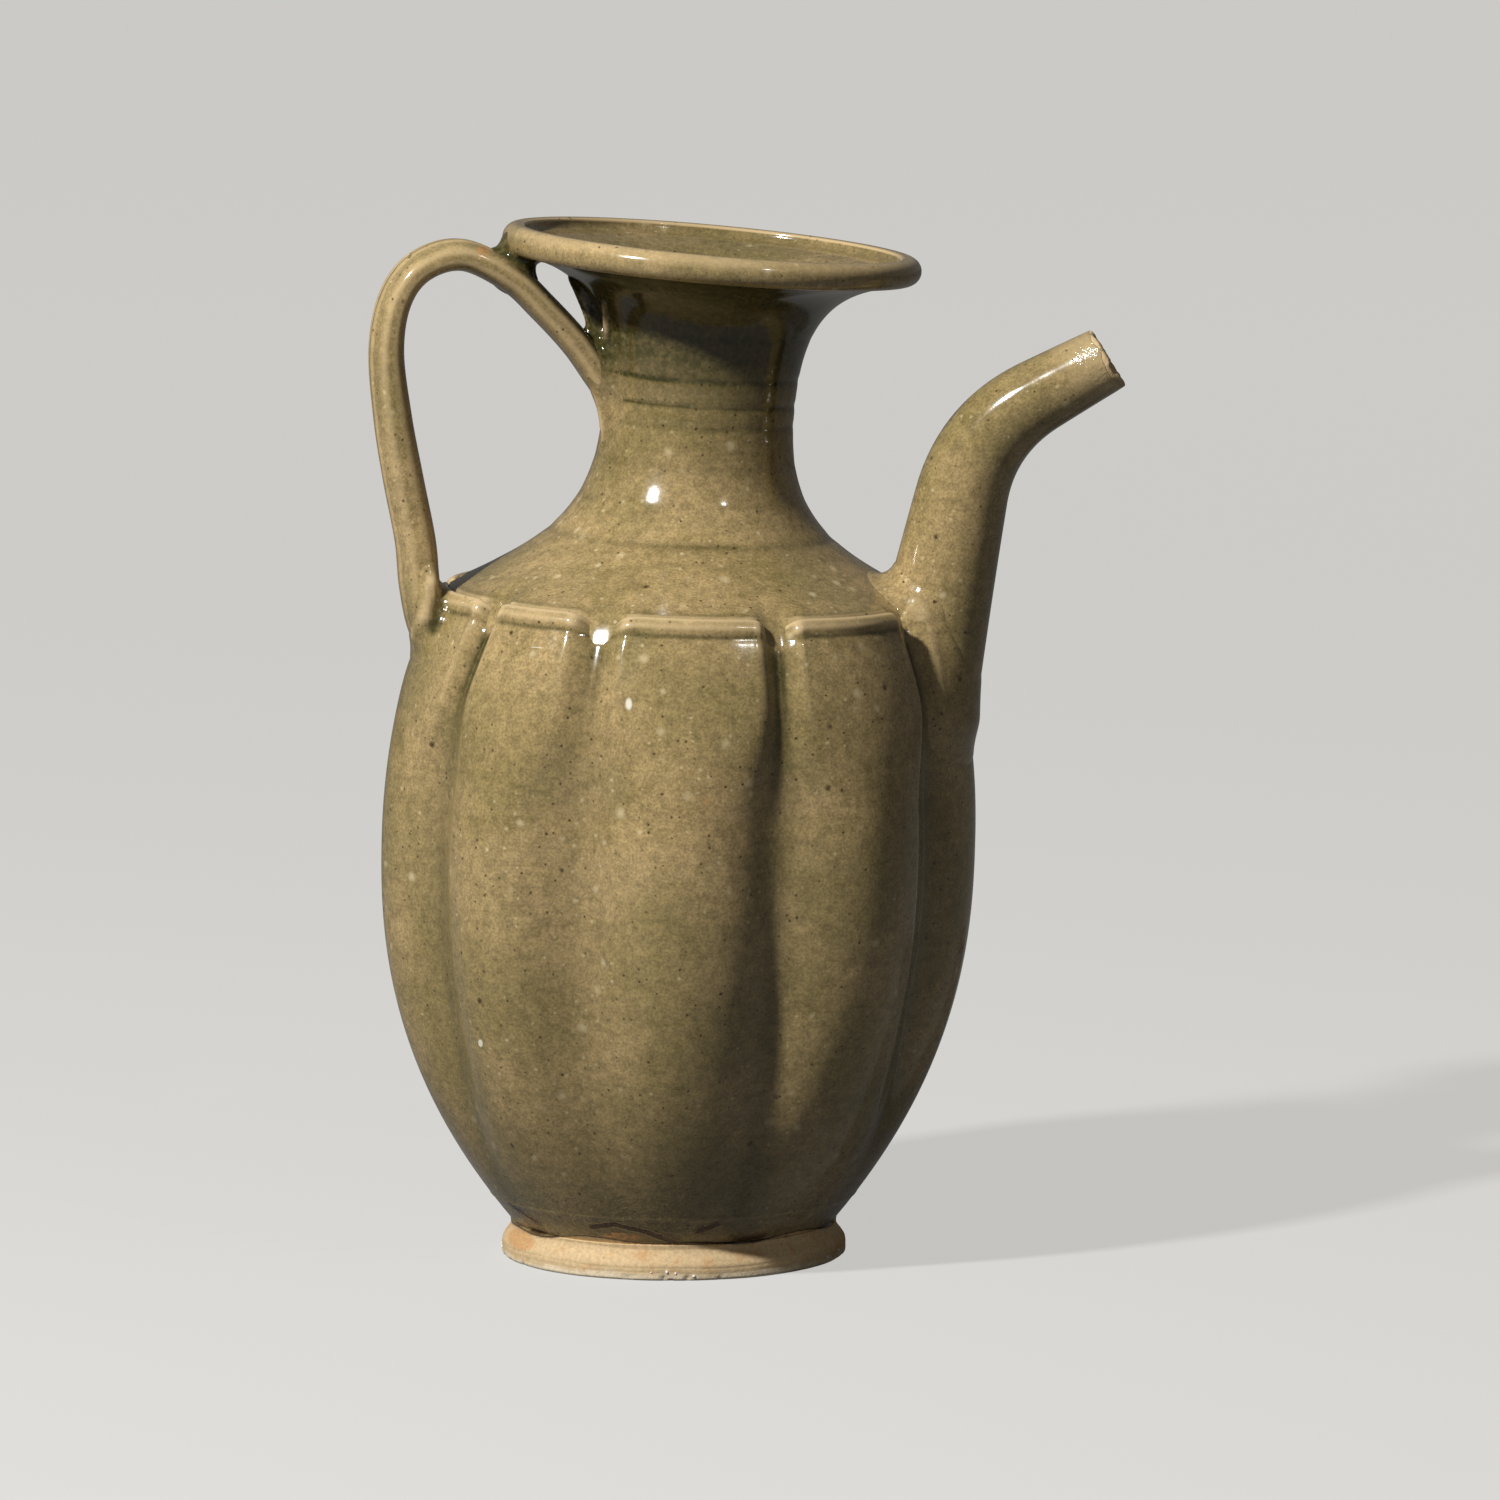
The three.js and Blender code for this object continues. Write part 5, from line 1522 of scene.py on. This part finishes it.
# %% Draw the skin where a field on a grid is zero
def surface_net(field):
    """One vertex in each cell that the skin passes, and one quad for each grid edge it crosses."""
    inside = field < 0
    cells = tuple(size - 1 for size in field.shape)
    total, hits, rings = np.zeros((*cells, 3)), np.zeros(cells), []
    for axis, (first, second) in enumerate(((1, 2), (2, 0), (0, 1))):
        crossed = inside != np.roll(inside, -1, axis)
        places = np.argwhere(crossed)
        here, beyond = field[crossed], np.roll(field, -1, axis)[crossed]
        points = places.astype(float)
        points[:, axis] += here / (here - beyond)
        ring = []
        for back_first, back_second in ((0, 0), (1, 0), (1, 1), (0, 1)):
            cell = places.copy()
            cell[:, first] -= back_first
            cell[:, second] -= back_second
            np.add.at(total, tuple(cell.T), points)
            np.add.at(hits, tuple(cell.T), 1)
            ring.append(cell)
        ring = np.stack(ring, 1)
        rising = ~inside[crossed]
        ring[rising] = ring[rising][:, ::-1]
        rings.append(ring)
    used = hits > 0
    numbers = np.full(cells, -1)
    numbers[used] = np.arange(used.sum())
    corners = np.concatenate(rings).reshape(-1, 3)
    return total[used] / hits[used][:, None], numbers[tuple(corners.T)].reshape(-1, 4)


# %% How strongly a skin in a field bends
def neighbours(field, axes):
    """The sum of each point's two neighbours along some axes of a grid."""
    return sum(np.roll(field, step, axis) for axis in axes for step in (1, -1))


def field_bend(field):
    """Curvature per millimetre, as on the other skins, spread a little over its neighbours."""
    bend = (neighbours(field, range(3)) - 6 * field) / GRID_STEP ** 2
    for _ in range(4):
        for axis in range(3):
            bend = (2 * bend + neighbours(bend, [axis])) / 4
    return bend


# %% Work clay into a joint
HIDE_DEPTH = 0.35
SHOWN_GAIN = 0.25
PAINTED_GAIN = (0.15, 0.8)
DEEP_IN_LOBE = 4.0
POOL_REACH = (1.2, -0.8)


def worked_clay(name, node, surfaces, centre, reach, width, rolls=(), pools=(), pooled=0.0, spread=None):
    """Fills a joint round a centre, an upright point in millimetres, with softly blended clay.
    The last of the surfaces is the strap or spout that was joined to the others. rolls are laid on
    the clay: each has a line, its radii and how softly it blends. pools are lines that glaze ran
    along, each with its radii and how thick it lies, and pooled is how dark the clay is elsewhere,
    from pooled glaze and any painted shade.
    spread gives the degrees from the spout's azimuth between which the added clay thins out."""
    places, fields = joint_fields(surfaces, centre, reach, width)
    plain = np.minimum.reduce(fields)
    blended = soft_union(np.minimum.reduce(fields[:-1]), fields[-1], width)
    for line, radii, roll_width in rolls:
        blended = soft_union(blended, roll_distance(places, line, radii), roll_width)
    if spread:
        turn = np.degrees(np.arctan2(places[..., 0], -places[..., 1])) - SPOUT_AZIMUTH
        blended = lerp(blended, plain, smooth(np.abs(turn), *spread))
    gain = plain - blended
    hidden = HIDE_DEPTH * (1 - smooth(gain, 0, SHOWN_GAIN))
    outside_reach = np.linalg.norm(places - centre, axis=-1) - (reach - 2 * GRID_STEP)
    deep = lerp(DEEP_IN_LOBE, 0.0, smooth(places[..., 2], LEDGE_HEIGHT - 8, LEDGE_HEIGHT))
    in_cavity = buried_radius(places[..., 2]) - deep - np.hypot(places[..., 0], places[..., 1])
    field = np.maximum.reduce([blended + hidden, -(plain + CORE), outside_reach, in_cavity])
    field[[0, -1]] = field[:, [0, -1]] = field[:, :, [0, -1]] = 1.0
    vertices, faces = surface_net(field)
    upright = places[0, 0, 0] + vertices * GRID_STEP
    piece = mesh_object(name, lean(upright), faces.tolist())

    at = tuple(np.round(vertices).astype(int).T)
    shown, bend = smooth(gain[at], *PAINTED_GAIN), field_bend(blended)[at]
    pool = shown * smooth(-bend, *HOLLOW_POOL)
    pool = pool + (pooled(upright[:, 2]) if callable(pooled) else pooled)
    for line, radii, thick in pools:
        pool = np.maximum(pool, thick * smooth(roll_distance(upright, line, radii), *POOL_REACH))
    coat(piece, len(vertices), thin=shown * smooth(bend, *EDGE_THIN), pool=np.clip(pool, 0, 1))
    finish_piece(piece, celadon, "celadon_glaze", node)


# %% The spout's joint
SPOUT_JOINT = around(SPOUT_AZIMUTH, LEDGE_RADIUS, LEDGE_HEIGHT - 9)
worked_clay("spout_collar", "spout_lute", [body_skin, turned_skin, spout_tube], SPOUT_JOINT,
            reach=31, width=7, spread=(12.5, 16.5))

# %% The strap's root, on the lobe: a hook of clay beside it, with glaze pooled along the hook
ROOT_JOINT = around(HANDLE_AZIMUTH, LEDGE_RADIUS + 2, LEDGE_HEIGHT - 3)
hook_line = around([-78, -71, -71, -75], [57.6, 56.2, 57.0, 58.0], [150, 142, 135.5, 131])
root_pool_line = around([-66, -67, -69], [54.0, 54.5, 56.0], [146, 140, 133])
worked_clay("handle_root_collar", "handle_root_lute", [body_skin, turned_skin, strap_skin], ROOT_JOINT,
            reach=19, width=3.5, rolls=[(hook_line, (0.5, 1.2, 1.4, 0.6), 2.4)],
            pools=[(root_pool_line, (1.6, 2.0, 1.0), 0.95)])

# %% The strap's joint with the neck: webs of clay, with glaze pooled between them
NECK_JOINT = around(HANDLE_AZIMUTH, WAIST_RADIUS + 3, WAIST_HEIGHT + 8)
web_line = around(HANDLE_AZIMUTH, [28.4, 24.2, 21.6, 20.2], [203.5, 196, 190.5, 184])
ridge_line = around([-58, -68, -71, -70], [25.4, 21.4, 20.2, 19.9], [200.5, 192, 184, 175])
edge_line = around(HANDLE_AZIMUTH + 10, [24.0, 21.3, 19.9], [184.5, 179, 171])
neck_pool_line = around(HANDLE_AZIMUTH + np.array([0, 6, 6]), [25.6, 23.2, 21.0], [196, 189.5, 183])
neck_rolls = [(web_line, (1.0, 1.1, 1.2, 0.8), 1.8),
              (ridge_line, (0.4, 0.9, 0.9, 0.4), 1.3),
              (edge_line, (0.6, 1.1, 0.4), 2.0)]
# The neck collar is darkened like the neck: run-off glaze and painted shade under the dish.
worked_clay("handle_neck_collar", "handle_neck_lute", [turned_skin, strap_skin], NECK_JOINT, reach=24,
            width=4.5, rolls=neck_rolls, pools=[(neck_pool_line, (1.8, 2.2, 1.2), 0.95)], pooled=run_off_and_dish_shade)

# %% [markdown]
# ## The pad under the lip
# A dab of clay ties the top of the strap to the underside of the lip. Glaze gathered round it and
# set as a dark glassy blob. It is one short roll, blended into strap and lip like the joints.

# %% Make the pad
PAD_RADIUS = 4.2
pad_low, pad_high = handle_centre[LIP_ROW][1] + 2.2, LIP_BOTTOM - 0.8
PAD_JOINT = around(HANDLE_AZIMUTH, LIP_FLARE, (pad_low + pad_high) / 2)
pad_line = around(HANDLE_AZIMUTH, LIP_FLARE, [pad_low, pad_high])
worked_clay("rim_pad_skin", "rim_pad", [turned_skin, strap_skin], PAD_JOINT, reach=13, width=1.5,
            rolls=[(pad_line, (PAD_RADIUS, PAD_RADIUS), 2.5)], pooled=BLOB_POOL)

# %% [markdown]
# ## Floor, light and camera
# Two soft boxes stand in front of the pot, the left one far stronger, and the camera looks slightly
# down through a long lens. The floor is plain and pale and runs out into a pale room. A bright room
# would wash out the glaze, so floor and room glow for the camera, far less for reflections, and give
# the pot hardly any light.

# %% The floor, and how the surroundings glow
FLOOR_RADIUS = 30.0
FLOOR_CORNERS = 64
FLOOR_GREY = (0.16, 0.158, 0.154, 1.0)
BACKDROP = (0.7, 0.69, 0.665, 1.0)
NEAR_GLOW = 0.78
FAR_GLOW = 0.84
GLOW_REACH = (0.1, 2.4)
REFLECTED_GLOW = 0.13


def seen_directly(nodes):
    """1 for rays from the camera, less for reflections and refractions, 0 for rays that only light."""
    path = nodes.add("ShaderNodeLightPath").outputs
    mirrored = nodes.math("MAXIMUM", path["Is Glossy Ray"], path["Is Transmission Ray"])
    return nodes.math("MAXIMUM", path["Is Camera Ray"], nodes.times(mirrored, REFLECTED_GLOW))


floor_mesh = bpy.data.meshes.new("floor")
floor_ring = around(np.arange(0, 360, 360 / FLOOR_CORNERS), FLOOR_RADIUS, 0.0)
floor_mesh.from_pydata(floor_ring.tolist(), [], [tuple(range(FLOOR_CORNERS))])
floor = new_object("floor", floor_mesh)
floor_paint, floor_nodes, floor_shader = new_material("pale_floor")
floor_finish = {"Base Color": FLOOR_GREY, "Roughness": 0.9, "Specular IOR Level": 0.0}
for socket_name, socket_value in {**floor_finish, "Emission Color": BACKDROP}.items():
    floor_shader.inputs[socket_name].default_value = socket_value
from_pot = floor_nodes.vector("LENGTH", floor_nodes.object_place())
glow = floor_nodes.ramp(from_pot, *GLOW_REACH, NEAR_GLOW, FAR_GLOW)
glow = floor_nodes.times(glow, seen_directly(floor_nodes))
floor_nodes.feed(floor_shader.inputs["Emission Strength"], glow)
floor_mesh.materials.append(floor_paint)

# %% The room and two soft boxes
ROOM_LIGHT = 0.045
world = bpy.data.worlds.new("pale_room")
world.use_nodes = True
room_nodes = Nodes(world.node_tree)
room = world.node_tree.nodes["Background"]
room.inputs["Color"].default_value = BACKDROP
brightness = room_nodes.blend(seen_directly(room_nodes), ROOM_LIGHT / BACKDROP[0], 1.0)
room_nodes.feed(room.inputs["Strength"], brightness)
bpy.context.scene.world = world
POT_MIDDLE = Vector((0.0, 0.0, 0.11))


def soft_box(name, azimuth, elevation, distance, size, power):
    """A square lamp that faces the pot, from an azimuth and an elevation in degrees."""
    lamp = bpy.data.lights.new(name, "AREA")
    lamp.shape = "SQUARE"
    lamp.size = size
    lamp.energy = power
    box = new_object(name, lamp)
    turn, rise = radians(azimuth), radians(elevation)
    box.location = POT_MIDDLE + distance * Vector((sin(turn) * cos(rise), -cos(turn) * cos(rise), sin(rise)))
    box.rotation_euler = (POT_MIDDLE - box.location).to_track_quat("-Z", "Y").to_euler()


soft_box("key_box", azimuth=-46, elevation=39, distance=1.6, size=0.1, power=34.5)
soft_box("fill_box", azimuth=39, elevation=39, distance=1.7, size=0.06, power=1.5)

# %% The camera
CAMERA_DISTANCE = 2.1
CAMERA_ELEVATION = radians(7.45)
AIM_PAST_AXIS = 0.01617
AIM_HEIGHT = 0.10659
CAMERA_AIM = Vector((FOOT_CENTRE.x * MM + AIM_PAST_AXIS, FOOT_CENTRE.y * MM, AIM_HEIGHT))
camera = new_object("camera", bpy.data.cameras.new("camera"))
camera.data.lens = 240
camera.data.sensor_width = 36
camera.location = CAMERA_AIM + CAMERA_DISTANCE * Vector((0, -cos(CAMERA_ELEVATION), sin(CAMERA_ELEVATION)))
camera.rotation_euler = (pi / 2 - CAMERA_ELEVATION, 0, 0)
bpy.context.scene.camera = camera
bpy.context.scene.view_settings.view_transform = "Standard"
